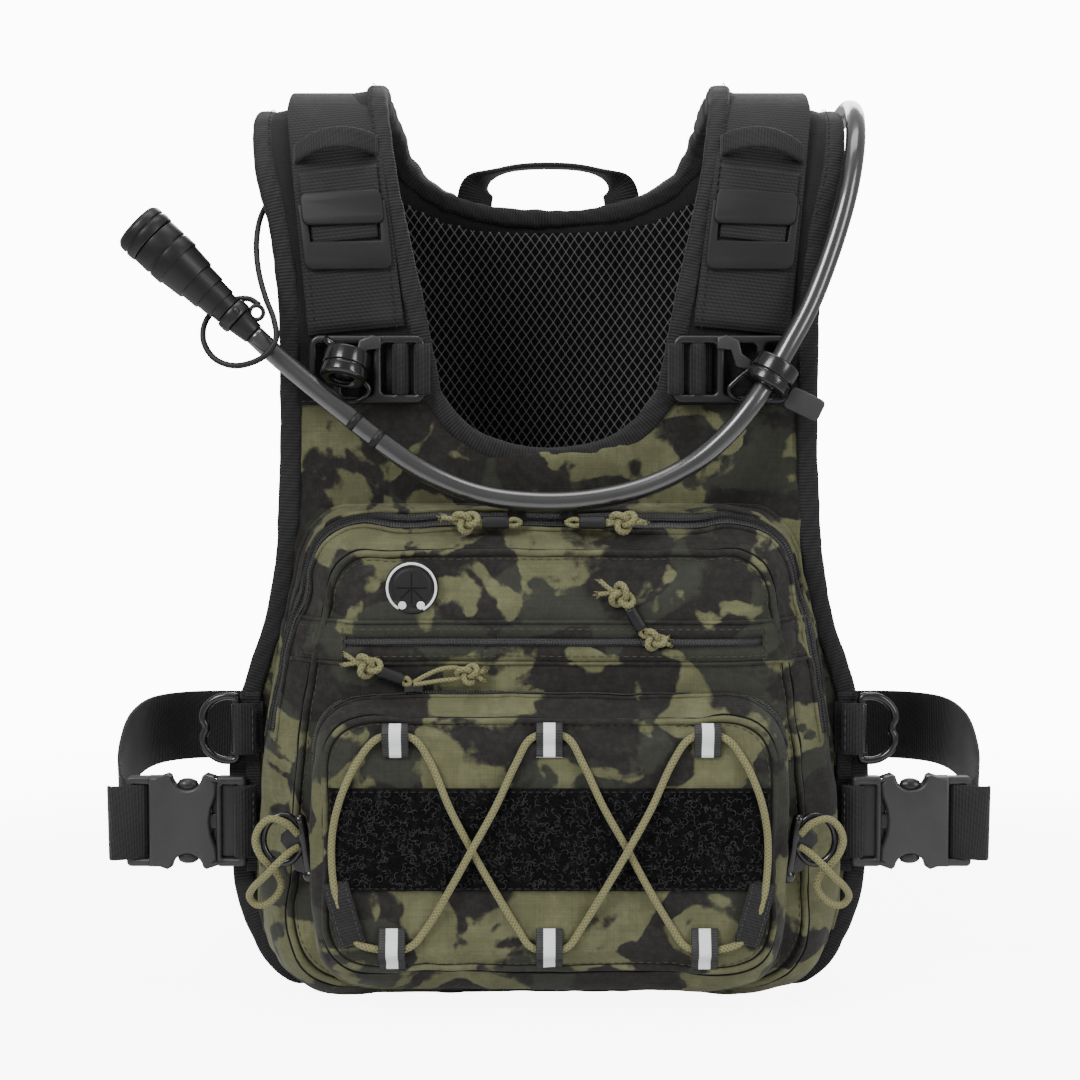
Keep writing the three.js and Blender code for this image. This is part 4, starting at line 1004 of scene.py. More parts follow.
def front_of(tree, x, z, miss):
    """Depth of the first surface met from the front at x and z, in millimetres."""
    hit = tree.ray_cast(Vector((x, -300, z)) * MM, Vector((0, 1, 0)))
    return miss if hit[0] is None else hit[0].y / MM


def lay_on(tree, path, lift, miss=None):
    """Moves a line in depth so that it lies a lift in front of the surface."""
    out = []
    for p in path:
        y = front_of(tree, p[0], p[2], p[1] if miss is None else miss)
        out.append((p[0], y - lift, p[2]))
    return out


def nearest_on(tree, path, lift):
    """Moves a line onto the nearest surface and a lift out of it; also gives the normals."""
    out, normals = [], []
    for p in path:
        hit = tree.find_nearest(Vector(p) * MM)
        n = hit[1]
        q = hit[0] / MM + n * lift
        out.append(tuple(q))
        normals.append(tuple(n))
    return np.array(out), np.array(normals)


# ------------------------------------------------------------------ outlines of the frame
MAIN_TOP, MAIN_HALF = 246.0, 148.0
MAIN_SPAN = (0.0, MAIN_TOP)
MAIN_BASE_Y = -33.3
MAIN_STEPS = [(MAIN_BASE_Y - 45 * s, sx, low, high) for s, sx, low, high in (
    (0, 1, 0, 0), (0.33, 0.985, 0, -4), (0.62, 0.955, 1, -9.5), (0.86, 0.915, 4, -14.5),
    (1, 0.865, 10, -20))]
SMALL_SPAN = (9.0, 156.0)
SMALL_HALF = 116.0
SMALL_STEPS = [(SMALL_BASE_Y - 24 * s, sx, low, high) for s, sx, low, high in (
    (0, 1, 0, 0), (0.4, 0.99, 1.5, -1.5), (0.75, 0.975, 5.5, -4.5), (1, 0.94, 14, -10))]


def level_point(p, step, span):
    share = (p[1] - span[0]) / (span[1] - span[0])
    low, high = span[0] + step[2], span[1] + step[3]
    return (p[0] * step[1], step[0], low + share * (high - low))


def main_outline():
    h, t = MAIN_HALF, MAIN_TOP
    right = [(114, 0)]
    right += quad(right[-1], (h - 1, 2), (h, 44))
    right += quad(right[-1], (h - 2, 150), (h - 20, t - 32))
    right += quad(right[-1], (h - 24, t), (98, t))
    return right + [(-x, z) for x, z in reversed(right)]


def small_outline():
    h, (lo, hi), r = SMALL_HALF, SMALL_SPAN, 30
    right = [(h - r, lo)] + quad((h - r, lo), (h, lo), (h, lo + r)) + [(h, hi - r)]
    right += quad((h, hi - r), (h, hi), (h - r, hi))
    return right + [(-x, z) for x, z in reversed(right)]


def panel_side():
    """Right edge of the front panel, from its straight lower edge up to the shoulder seam."""
    out = [(112, 0)]
    out += quad(out[-1], (142, 0), (150, 24))
    out += quad(out[-1], (158, 38), (160, 56))
    out += quad(out[-1], (163, 88), (161, 118))
    out += quad(out[-1], (157, 150), (145, 180))
    out += quad(out[-1], (137, 208), (136, 236))
    return out + [(134.5, 268), (134, 299.7)]


def neck_side():
    """Right half of the neckline, from the shoulder seam down to the middle."""
    return [(56, 299.7)] + cubic((56, 299.7), (48, 284), (30, 272), (0, 272))


PAD_MIDDLE, PAD_BACK = -30.5, 88.3
PAD_STATIONS = [
    (PAD_MIDDLE, 300, 56, 134, 0), (PAD_MIDDLE, 345, 64.5, 134.5, 0),
    (PAD_MIDDLE + 2.5, 385, 73, 139, 2), (PAD_MIDDLE + 10.5, 420, 80, 147, 7),
    (PAD_MIDDLE + 28, 446, 84, 150, 13), (24, 457, 86, 151, 15), (49, 454, 85, 150, 13),
    (PAD_BACK - 13, 445, 82, 147, 8), (PAD_BACK - 2.5, 434, 78.5, 143.5, 3),
    (PAD_BACK, 425.6, 76, 141, 0)]
PAD_N = 181
PAD_LINE = catmull([(0, y, z) for y, z, _, _, _ in PAD_STATIONS], PAD_N)
PAD_EDGE = catmull([(a, b, c) for _, _, a, b, c in PAD_STATIONS], PAD_N)
PAD_DIR = np.gradient(PAD_LINE, axis=0)
PAD_DIR /= np.linalg.norm(PAD_DIR, axis=1)[:, None]


def pad_row(t):
    at = min(PAD_N - 1.0, max(0.0, t * (PAD_N - 1)))
    i = min(PAD_N - 2, int(at))
    w = at - i
    return tuple((1 - w) * a[i] + w * a[i + 1] for a in (PAD_LINE, PAD_DIR, PAD_EDGE))


def pad_point(t, x, lift):
    """Point over the right shoulder pad: t along it, x across it, lift out of its middle."""
    p, d, e = pad_row(t)
    share = (x - e[0]) / (e[1] - e[0])
    return np.array([x, p[1] - d[2] * lift, p[2] + d[1] * lift - e[2] * share])


def pad_normal(t):
    _, d, _ = pad_row(t)
    return np.array([0, -d[2], d[1]])


def pad_at(z):
    lo, hi = 0.0, 0.5
    for _ in range(30):
        mid = (lo + hi) / 2
        if pad_row(mid)[0][2] < z:
            lo = mid
        else:
            hi = mid
    return lo


def webbing_x(t):
    return 93.5 + (112 - 93.5) * min(1.0, t / 0.45)


# ------------------------------------------------------------------ stitches
def stitches(name, path, normals, material, length=2.7, gap=1.3, radius=0.26):
    """A row of separate stitches lying on a surface, their ends sunk a little into it."""
    sink = 0.12
    path = np.array(path, float)
    normals = np.broadcast_to(np.array(normals, float), path.shape)
    d = distances(path)
    total = d[-1]
    n = max(1, int(total / (length + gap)))
    pitch = total / n
    share = length / (length + gap)
    verts, faces = [], []
    for k in range(n):
        at = np.array([k * pitch + gap / 2, k * pitch + gap / 2 + pitch * share])
        stops = np.linspace(at[0], at[1], 4)
        pts = np.stack([np.interp(stops, d, path[:, c]) for c in range(3)], axis=1)
        nrm = unit(np.stack([np.interp(stops, d, normals[:, c]) for c in range(3)], axis=1))
        t = pts[-1] - pts[0]
        t /= max(1e-9, np.linalg.norm(t))
        side = np.cross(t, nrm)
        base = len(verts)
        for i in range(4):
            r = radius * (0.55 if i in (0, 3) else 1.0)
            lift = -sink if i in (0, 3) else radius * 0.6
            c = pts[i] + nrm[i] * lift
            for a in (0, 72, 144, 216, 288):
                verts.append(c + side[i] * r * math.cos(math.radians(a))
                             + nrm[i] * r * math.sin(math.radians(a)))
        for i in range(3):
            for a in range(5):
                b = (a + 1) % 5
                faces.append((base + i * 5 + a, base + i * 5 + b, base + i * 5 + 5 + b,
                              base + i * 5 + 5 + a))
        faces.append(tuple(base + a for a in (4, 3, 2, 1, 0)))
        faces.append(tuple(base + 15 + a for a in range(5)))
    piece(name, verts, faces, material)


# ------------------------------------------------------------------ body panels
def make_panels():
    panel = soft_copy("front_panel_cloth", "front_panel", CAMO, 3.2, 4)
    co = get_points(panel)
    top = np.clip((co[:, 2] - 246) / 20, 0, 1)
    co[:, 1] -= 2.2 * top * np.clip(1 - (np.abs(co[:, 0]) / 125) ** 2, 0, 1)
    set_points(panel, co)
    wrinkle(panel, ((34, 2.0), (13, 0.8)), 3.1)
    finish_soft(panel, "front_panel", "camo_fabric")
    # the side towards the body is lined with dark mesh
    panel.data.materials.append(MESH_PAD)
    normals = np.zeros(len(panel.data.polygons) * 3)
    panel.data.polygons.foreach_get("normal", normals)
    inner = (normals.reshape(-1, 3)[:, 1] > 0.35).astype(np.int32)
    panel.data.polygons.foreach_set("material_index", inner)

    back = soft_copy("back_panel_cloth", "back_panel", CLOTH, 4.0, 5)
    wrinkle(back, ((60, 1.6), (20, 0.5)), 9.0)
    finish_soft(back, "back_panel", "black_fabric")

    lining = soft_copy("back_mesh_lining", "back_lining", MESH, 3.6, 3)
    co = get_points(lining)
    # two quilted channels down the side towards the body, which swells between its edges
    chan = np.zeros(len(co))
    for x0 in (-42.0, 42.0):
        chan += np.exp(-((co[:, 0] - x0 * (1 + 0.15 * np.sin(co[:, 2] / 60))) / 3.6) ** 2)
    inside = co[:, 1] < 82.5
    co[inside, 1] -= 2.4 * (1 - np.clip(np.abs(co[inside, 0]) / 130, 0, 1) ** 2)
    co[inside, 1] += 1.7 * chan[inside]
    set_points(lining, co)
    wrinkle(lining, ((40, 1.2),), 4.0)
    finish_soft(lining, "back_lining", "mesh_lining")


def spread(rows, n):
    """The same run of rows with n of them."""
    rows = np.array(rows, float)
    at = np.linspace(0, len(rows) - 1, n)
    return np.stack([np.interp(at, range(len(rows)), column) for column in rows.T], axis=1)


def edge_tape(name, path, up, width=11.0, thick=7.4, sizes=None, pucker=0.28, seed=0.0):
    """Binding folded over an edge: a rounded band that puckers a little along its length."""
    path = even(path, 1.6)
    squareness = 0.55  # 1 is an ellipse, 0 a rectangle
    prof = [(math.copysign(abs(c) ** squareness, c), math.copysign(abs(s) ** squareness, s))
            for c, s in circle_profile(1, 20)]
    prof = [(width / 2 * c, thick / 2 * s) for c, s in prof]
    sizes = spread([(1, 1)] * 2 if sizes is None else sizes, len(path))
    ripple, slow = (np.array([noise.noise(Vector(p) / size + Vector((seed, shift, 0)))
                              for p in path]) for size, shift in ((7.0, 0), (31.0, 4)))
    sizes = sizes * (1 + (pucker * 0.22 * ripple + 0.09 * slow))[:, None]
    if np.ndim(up) > 1:
        up = spread(up, len(path))
    sweep(name, path, prof, BINDING, "vest", up, False, sizes)


def front_edge_lines():
    """Outer and inner edge lines of the front, from behind the top of the shoulder, with their
    normals and sizes; then the front panel's side and its sizes."""
    outer, inner, n_out, thick = [], [], [], []
    t_top = 0.62  # how far over the shoulder these edges go
    for k in range(60):
        t = t_top * (1 - k / 59)
        e = pad_row(t)[2]
        outer.append(pad_point(t, e[1] - 3.6, 0.4))
        inner.append(pad_point(t, e[0] + 3.6, 0.4))
        n_out.append(pad_normal(t))
        thick.append((1.0, 11.2 / 7.4))
    side = even([(x - 3.9, -30.7, z) for x, z in reversed(panel_side())], 3.0)
    fade = [(1.0, 1.0 + 0.5 * max(0.0, 1 - i / 14)) for i in range(len(side))]
    return outer, inner, n_out, thick, side, fade


def make_bindings():
    outer, inner, n_out, thick, side, fade = front_edge_lines()
    # one tape down the left side, along the bottom and up the right side
    right = [tuple(p) for p in outer] + [tuple(p) for p in side[2:]]
    right_up = [tuple(n) for n in n_out] + [(0, -1, 0)] * (len(side) - 2)
    right_size = thick + fade[2:]
    bottom = even([(right[-1][0], -30.7, 3.2), (-right[-1][0], -30.7, 3.2)], 3.0)[1:-1]
    path = right + [tuple(p) for p in bottom] + mirrored(reversed(right))
    up = right_up + [(0, -1, 0)] * len(bottom) + [(-a, b, c) for a, b, c in reversed(right_up)]
    sizes = right_size + [(1, 1)] * len(bottom) + list(reversed(right_size))
    path = np.array(path)
    path[:, 2] = np.maximum(path[:, 2], 4.2)
    edge_tape("outer_binding", path, up, sizes=sizes, seed=1.0)

    neck = even([(x, -30.9, z) for x, z in neck_side()], 3.0)
    neck = [(p[0] - 0.2, p[1], p[2] - 3.4) for p in neck]
    right = [tuple(p) for p in inner] + neck[2:]
    right_up = [tuple(n) for n in n_out] + [(0, -1, 0)] * (len(neck) - 2)
    right_size = thick + [(1, 1.0 + 0.5 * max(0.0, 1 - i / 14)) for i in range(len(neck) - 2)]
    path = right + mirrored(reversed(right[:-1]))
    up = right_up + [(-a, b, c) for a, b, c in reversed(right_up[:-1])]
    sizes = right_size + list(reversed(right_size[:-1]))
    edge_tape("neck_binding", path, up, sizes=sizes, seed=5.0)

    # back edges: sides and lower edge, and the back neckline
    side_pts = [(104, 0)]
    side_pts += quad(side_pts[-1], (132, 0), (136, 40))
    side_pts += quad(side_pts[-1], (142, 118), (128, 180))
    side_pts += quad(side_pts[-1], (112, 238), (118, 300))
    side_pts += quad(side_pts[-1], (124, 370), (141, 424))
    right = [(x - 3.6, 88.3, z) for x, z in reversed(side_pts)]
    path = right + [(0, 88.3, 3.6)] + mirrored(reversed(right))
    path = np.array(path)
    path[:, 2] = np.maximum(path[:, 2], 4.4)
    edge_tape("back_binding", path, (0, 1, 0), width=10.5, thick=10.2, seed=8.0)
    # over the shoulders the tape follows the inner edge of each pad
    pad_part, pad_up = [], []
    for t in np.linspace(0.6, 0.97, 30):
        edge = pad_row(t)[2]
        pad_part.append(tuple(pad_point(t, edge[0] + 3.2, 0.4)))
        pad_up.append(tuple(pad_normal(t)))
    neck = cubic((76, 424), (56, 404), (32, 399), (0, 399))
    right = pad_part + [(x + 1.0, 87.3, z - 2.4) for x, z in neck]
    right_up = pad_up + [(0, 1, 0)] * len(neck)
    path = right + mirrored(reversed(right[:-1]))
    up = right_up + [(-a, b, c) for a, b, c in reversed(right_up[:-1])]
    edge_tape("back_neck_binding", path, up, width=9.5, thick=12.4, pucker=1.1, seed=12.0)


def make_pads():
    for side, k in SIDES:
        pad = soft_copy(f"{side}_pad_cloth", f"{side}_shoulder_pad", CLOTH_FINE, 3.4, 5)
        wrinkle(pad, ((26, 1.1), (11, 0.4)), 20.0 + k)
        finish_soft(pad, f"{side}_shoulder_pad", "padded_mesh")


make_panels()
make_bindings()
make_pads()


# ------------------------------------------------------------------ pockets
def crown(ob, span_x, z0, z1, front, base, amount):
    """Bulges the front face of a pocket between its edges."""
    co = get_points(ob)
    depth = np.clip((base - co[:, 1]) / (base - front), 0, 1) ** 1.5
    sx = np.clip(1 - np.abs(co[:, 0] / span_x) ** 2.0, 0, 1)
    sz = np.clip(1 - np.abs((co[:, 2] - (z0 + z1) / 2) / ((z1 - z0) / 2)) ** 2.0, 0, 1)
    co[:, 1] -= amount * depth * np.sqrt(sx * sz)
    set_points(ob, co)


def make_pockets():
    main = soft_copy("main_pocket_cloth", "main_pocket", CAMO, 4.2, 6)
    co = get_points(main)
    puff(main, 5.0, co[:, 1] > MAIN_BASE_Y - 5)
    crown(main, 132, 8, 228, MAIN_FACE, MAIN_BASE_Y, 1.4)
    subdivide(main)
    wrinkle(main, ((70, 2.4), (28, 1.8), (11, 0.7)), 1.3,
            lambda c: np.clip((MAIN_BASE_Y - 2 - c[:, 1]) / 8, 0, 1))
    co = get_points(main)
    co[:, 1] = np.minimum(co[:, 1], -33.1)
    co[:, 2] = np.maximum(co[:, 2], 0.15)
    set_points(main, co)
    finish_soft(main, "main_pocket", "camo_fabric")

    small = soft_copy("small_pocket_cloth", "small_pocket", CAMO, 3.4, 5)
    co = get_points(small)
    puff(small, 4.0, co[:, 1] > SMALL_BASE_Y - 4)
    subdivide(small)
    wrinkle(small, ((50, 1.6), (20, 1.1), (9, 0.5)), 7.7,
            lambda c: np.clip((SMALL_BASE_Y - 2 - c[:, 1]) / 6, 0, 1))
    co = get_points(small)
    co[:, 1] = np.maximum(co[:, 1], -103.6)
    set_points(small, co)
    finish_soft(small, "small_pocket", "camo_fabric")
    return main, small


MAIN, SMALL = make_pockets()
MAIN_TREE = tree_of(MAIN)
SMALL_TREE = tree_of(SMALL)


def on_level(outline, steps, span, at):
    """Outline of a pocket at a share between its levels."""
    i = min(len(steps) - 2, int(at))
    w = at - i
    step = tuple((1 - w) * a + w * b for a, b in zip(steps[i], steps[i + 1]))
    return [level_point(p, step, span) for p in outline]


def run_between(path, test):
    """The longest run of points that pass a test on a closed line."""
    n = len(path)
    keep = [test(p) for p in path]
    start = next(i for i in range(n) if keep[i] and not keep[i - 1])
    out = []
    for k in range(n):
        i = (start + k) % n
        if not keep[i]:
            break
        out.append(tuple(path[i]))
    return out


def seam_rib(name, path, tree, radius, lift, closed=False):
    """Piped seam lying on a surface."""
    line = even(path, 2.0, closed)
    pos, _ = nearest_on(tree, line, lift)
    for _ in range(3):
        if closed:
            pos = (np.roll(pos, 1, 0) + pos * 2 + np.roll(pos, -1, 0)) / 4
        else:
            pos[1:-1] = (pos[:-2] + pos[1:-1] * 2 + pos[2:]) / 4
    tube(name, pos, radius, CAMO, "vest", closed, 10)


def painted_shadow_line(name, path, tree):
    """Thin dark line sunk beside a piped seam, where the cloth folds into it: a painted shadow line
    for the shade in that fold.
    """
    pos, _ = nearest_on(tree, even(path, 2.0, True), 0.12)
    tube(name, pos, 0.5, SHADOW_AND_SLIT_CLOTH, closed=True, sides=8)


def seam_stitches(name, path, tree):
    """Closed row of stitches on a surface."""
    line = even(path, 2.0, True)
    pos, nrm = nearest_on(tree, np.vstack([line, line[:1]]), 0.05)
    stitches(name, pos, nrm, THREAD_OLIVE)


def shrunk(path, share_x, middle_z, share_z):
    """The same line drawn in towards its middle."""
    return [(p[0] * share_x, p[1], middle_z + (p[2] - middle_z) * share_z) for p in path]


def make_pocket_seams():
    out = main_outline()
    rim = even(on_level(out, MAIN_STEPS, MAIN_SPAN, 3.93), 2.0, True)
    seam_rib("main_front_piping", rim, MAIN_TREE, 1.7, 0.7, True)
    # the thin dark lines beside the main pocket's piping are painted shadow lines
    painted_shadow_line("main_front_shadow_line", shrunk(rim, 0.985, 120, 0.981), MAIN_TREE)
    painted_shadow_line("main_gusset_shadow_line", on_level(out, MAIN_STEPS, MAIN_SPAN, 3.55), MAIN_TREE)
    seam_stitches("main_face_stitches", shrunk(rim, 0.972, 115, 0.962), MAIN_TREE)
    back = even(on_level(out, MAIN_STEPS, MAIN_SPAN, 0.12), 2.0, True)
    back = run_between(back, lambda p: p[2] > 26)
    seam_rib("main_back_piping", back, MAIN_TREE, 1.7, 0.5)
    # zip band over the top and down to mid height, with a fold of cloth on either side of it
    for name, at in (("main_zip_fold_front", 1.97), ("main_zip_fold_back", 1.03)):
        line = even(on_level(out, MAIN_STEPS, MAIN_SPAN, at), 2.0, True)
        line = run_between(line, lambda p: p[2] > 128)
        seam_rib(name, line, MAIN_TREE, 1.2, 0.3)
    zip_tape("main_zip_tape", on_level(out, MAIN_STEPS, MAIN_SPAN, 1.5), MAIN_TREE, 132, 8.6,
             "main_zip")

    out = small_outline()
    rim = even(on_level(out, SMALL_STEPS, SMALL_SPAN, 2.93), 2.0, True)
    seam_rib("small_front_piping", rim, SMALL_TREE, 1.6, 0.6, True)
    # the thin dark lines beside the small pocket's piping are painted shadow lines
    painted_shadow_line("small_front_shadow_line", shrunk(rim, 0.983, 82, 0.974), SMALL_TREE)
    painted_shadow_line("small_gusset_shadow_line", on_level(out, SMALL_STEPS, SMALL_SPAN, 2.6), SMALL_TREE)
    seam_stitches("small_face_stitches", shrunk(rim, 0.968, 84, 0.955), SMALL_TREE)
    base = even(on_level(out, SMALL_STEPS, SMALL_SPAN, 0.1), 2.0, True)
    seam_rib("small_back_piping", base, SMALL_TREE, 1.7, 0.6, True)
    line = even(on_level(out, SMALL_STEPS, SMALL_SPAN, 0.95), 2.0, True)
    line = run_between(line, lambda p: p[2] > 122)
    seam_rib("small_zip_fold", line, SMALL_TREE, 1.0, 0.2)
    zip_tape("small_zip_tape", on_level(out, SMALL_STEPS, SMALL_SPAN, 0.5), SMALL_TREE, 124, 4.6,
             "small_zip")


def zip_tape(name, line, tree, low, width, node):
    """Zip tape on a gusset, with a raised coil along its middle."""
    line = run_between(even(line, 2.0, True), lambda p: p[2] > low)
    pos, nrm = nearest_on(tree, line, 0.55)
    tape = sweep(name, pos, tape_profile(width, 1.0), ZIP, "vest", nrm, flat=True)
    coil = sweep(name + "_coil", pos + nrm * 0.7, tape_profile(2.4, 1.5), ZIP, "vest", nrm,
                 flat=True)
    tag(tape, "zip_tape", node)


def pile_curls(name, span_x, span_z, count):
    """Small curled fibres that stand out of the loop field."""
    rng = np.random.default_rng(11)
    steps, wire = 6, 0.19
    verts, faces = [], []
    for _ in range(count):
        x, z = rng.uniform(*span_x), rng.uniform(*span_z)
        start, turn = rng.uniform(0, 2 * math.pi), rng.uniform(2.2, 4.4)
        size, height = rng.uniform(0.8, 1.55), rng.uniform(0.3, 0.8)
        y = front_of(SMALL_TREE, x, z, SMALL_FACE) - 2.4
        base = len(verts)
        for s in range(steps + 1):
            a = start + turn * s / steps
            out = height * math.sin(math.pi * s / steps)
            for b in (90, 210, 330):
                reach = size + wire * math.cos(math.radians(b))
                verts.append((x + reach * math.cos(a),
                              y - out - wire * math.sin(math.radians(b)),
                              z + reach * math.sin(a)))
        for s in range(steps):
            for b in range(3):
                i, j = base + 3 * s + b, base + 3 * s + (b + 1) % 3
                faces.append((i, j, j + 3, i + 3))
        faces.append((base + 2, base + 1, base))
        faces.append(tuple(base + 3 * steps + b for b in range(3)))
    return piece(name, verts, faces, PILE_FIBRE)


def flat_patch(name, x0, x1, z0, z1, tree, lift, thick, material, cell=2.5, rough=0.0,
               miss=MAIN_FACE):
    """Closed patch with round edges that follows the pocket face under it."""
    nx = max(2, int((x1 - x0) / cell))
    nz = max(2, int((z1 - z0) / cell))
    verts, faces, uvs = [], [], []
    for side in (0, 1):
        for j in range(nz + 1):
            for i in range(nx + 1):
                x = x0 + (x1 - x0) * i / nx
                z = z0 + (z1 - z0) * j / nz
                y = front_of(tree, x, z, miss) - lift
                if side:
                    y -= thick
                    if rough:
                        y -= rough * (0.5 + noise.noise(Vector((x, 3.0, z)) / 1.7))
                    rim = min(x - x0, x1 - x, z - z0, z1 - z)
                    y += thick * 0.8 * max(0.0, 1 - rim / 1.6) ** 2
                verts.append((x, y, z))
    row = nx + 1
    half = row * (nz + 1)
    for j in range(nz):
        for i in range(nx):
            a = j * row + i
            quad_front = (half + a, half + a + 1, half + a + row + 1, half + a + row)
            faces.append(quad_front)
            uvs.append(tuple((verts[v][0], verts[v][2]) for v in quad_front))
            quad_back = (a, a + row, a + row + 1, a + 1)
            faces.append(quad_back)
            uvs.append(tuple((verts[v][0], verts[v][2]) for v in quad_back))
    rim = ([i for i in range(nx)] + [j * row + nx for j in range(nz)]
           + [nz * row + i for i in range(nx, 0, -1)] + [j * row for j in range(nz, 0, -1)])
    for k, a in enumerate(rim):
        b = rim[(k + 1) % len(rim)]
        f = (a, b, half + b, half + a)
        faces.append(f)
        uvs.append(tuple((verts[v][0], verts[v][2]) for v in f))
    return piece(name, verts, faces, material, "vest", uvs)


make_pocket_seams()


def make_front_details():
    # flat zip panel across the upper part of the main pocket
    flat_patch("panel_welt_low", -126, 130, 171.0, 179.2, MAIN_TREE, -0.4, 1.9, CAMO)
    flat_patch("panel_welt_high", -126, 130, 182.6, 190.4, MAIN_TREE, -0.4, 2.1, CAMO)
    tape = flat_patch("panel_zip_tape", -103, 108, 178.4, 183.4, MAIN_TREE, -0.2, 0.9, ZIP)
    band("panel_zip_coil", lay_on(MAIN_TREE, [(x, 0, 180.9) for x in range(-101, 107, 6)], 1.1),
         (0, 0, 1), 2.2, 1.2, ZIP)
    tag(tape, "zip_tape", "middle_zip")
    for z in (170.6, 190.8):
        line = lay_on(MAIN_TREE, [(x, 0, z) for x in np.arange(-128, 132, 3)], 0.5)
        tube(f"panel_ridge_{int(z)}", smooth_line(line, 2.0), 0.9, CAMO, sides=8)
    for z in (174.2, 187.4):
        line = lay_on(MAIN_TREE, [(x, 0, z) for x in np.arange(-124, 128, 3)], 1.6)
        stitches(f"panel_stitches_{int(z)}", line, (0, -1, 0), THREAD_OLIVE)
    for k, x, seam_x in ((0, -108, -101), (1, 113, 106)):
        flat_patch(f"panel_zip_end_{k}", x - 9, x + 9, 171.6, 190.0, MAIN_TREE, 0.6, 1.5, CAMO)
        line = lay_on(MAIN_TREE, [(seam_x, 0, z) for z in np.arange(172, 190, 2)], 2.0)
        stitches(f"panel_end_stitches_{k}", line, (0, -1, 0), THREAD_OLIVE)

    # hook-and-loop field
    field = flat_patch("loop_field_pile", -107, 107, 62.5, 112.5, SMALL_TREE, -0.3, 2.2, LOOPS,
                       cell=0.9, rough=1.1, miss=SMALL_FACE)
    tag(field, "loop_fabric", "loop_field")
    curls = pile_curls("loop_field_curls", (-105, 105), (64.5, 110.5), 1500)
    rim = rounded_rect(-105.4, 105.4, 64.0, 111.0, 0.6, 2)
    line = even([(x, 0, z) for x, z in rim], 2.0, True)
    line = np.array(lay_on(SMALL_TREE, list(line) + [tuple(line[0])], 2.35, SMALL_FACE))
    stitches("field_stitches", line, (0, -1, 0), THREAD, length=3.0, gap=1.0, radius=0.34)

    # cable port: rubber flower with slits and an open white ring
    px, pz = -67, 207.5
    y = front_of(MAIN_TREE, px, pz, MAIN_FACE)
    prof = rounded_profile([(-1.5, 0), (-1.5, 13.2), (0.9, 13.2), (2.0, 12.2), (2.0, 11.0),
                            (1.3, 10.4), (1.3, 9.6), (1.9, 8.8), (1.9, 0)], 0.5)
    port = turned("cable_port_body", [(a + 0.2, r) for a, r in prof], (px, y, pz),
                  (0, -1, 0), RUBBER, segments=64)
    tag(port, "rubber", "cable_port")
    open_from, open_to = -62, 242  # degrees; the ring is open below
    ring_pts = []
    for d in range(open_from, open_to + 1, 6):
        a = math.radians(d)
        ring_pts.append((px + 11.9 * math.cos(a), y - 2.35, pz + 11.9 * math.sin(a)))
    tube("cable_port_ring", ring_pts, 0.62, WHITE, sides=10)
    for d in (open_from, open_to):
        a = math.radians(d)
        x, z = px + 9.6 * math.cos(a), pz + 9.6 * math.sin(a)
        turned(f"cable_port_dot_{d}", rounded_profile([(0, 0), (0, 2.0), (0.8, 2.0), (0.8, 0)],
                                                      0.4), (x, y - 2.05, z), (0, -1, 0), WHITE,
               segments=24)
    for n, (ax, az) in enumerate(((1, 0), (0, 1), (0.72, -0.72), (-0.72, -0.72))):
        pts = [(px + ax * s, y - 2.16, pz + az * s) for s in (
            np.linspace(-7.4, 7.4, 8) if n < 2 else np.linspace(1.2, 7.4, 6))]
        tube(f"cable_port_slit_{n}", pts, 0.32, SHADOW_AND_SLIT_CLOTH, sides=6)


make_front_details()

# ------------------------------------------------------------------ lace and its loops
LACE_D = 3.6
UPPER_X, LOWER_X = (-74, 0, 76), (-76, 0, 75)
LACE_XZ = [
    (-98, 44, 0), (-102, 57, 1), (-104.5, 72, 1), (-104.5, 90, 1), (-100, 109, 1),
    (-92, 126, 0), (-83, 136.6, 0), (-74, 138.5, 0), (-65, 136.6, 0), (-57, 125, 0),
    (-48, 104, 1), (-37.5, 83.5, 1), (-26, 63, 1), (-15, 44, 0), (-9, 35.6, 0), (0, 33.5, 0),
    (9, 35.6, 0), (15, 44, 0), (26, 63, 2), (37.5, 83.5, 4), (49, 104, 2), (59, 125, 0),
    (67, 136.6, 0), (76, 138.5, 0), (85, 136.6, 0), (93.5, 126, 0), (101, 109, 1),
    (105, 90, 1), (105, 72, 1), (102.5, 57, 1), (98, 44, 0), (91, 37, 0), (84, 34.6, 0),
    (75, 33.5, 0), (66, 35.6, 0), (59, 45, 0), (48, 64, 1), (37.5, 83.5, 1), (26, 104, 1),
    (16, 125, 0), (9, 136.6, 0), (0, 138.5, 0), (-9, 136.6, 0), (-16, 125, 0), (-26, 104, 2),
    (-37.5, 83.5, 4), (-48, 64, 2), (-59, 45, 0), (-67, 35.6, 0), (-76, 33.5, 0),
    (-85, 34.6, 0), (-92, 37, 0)]


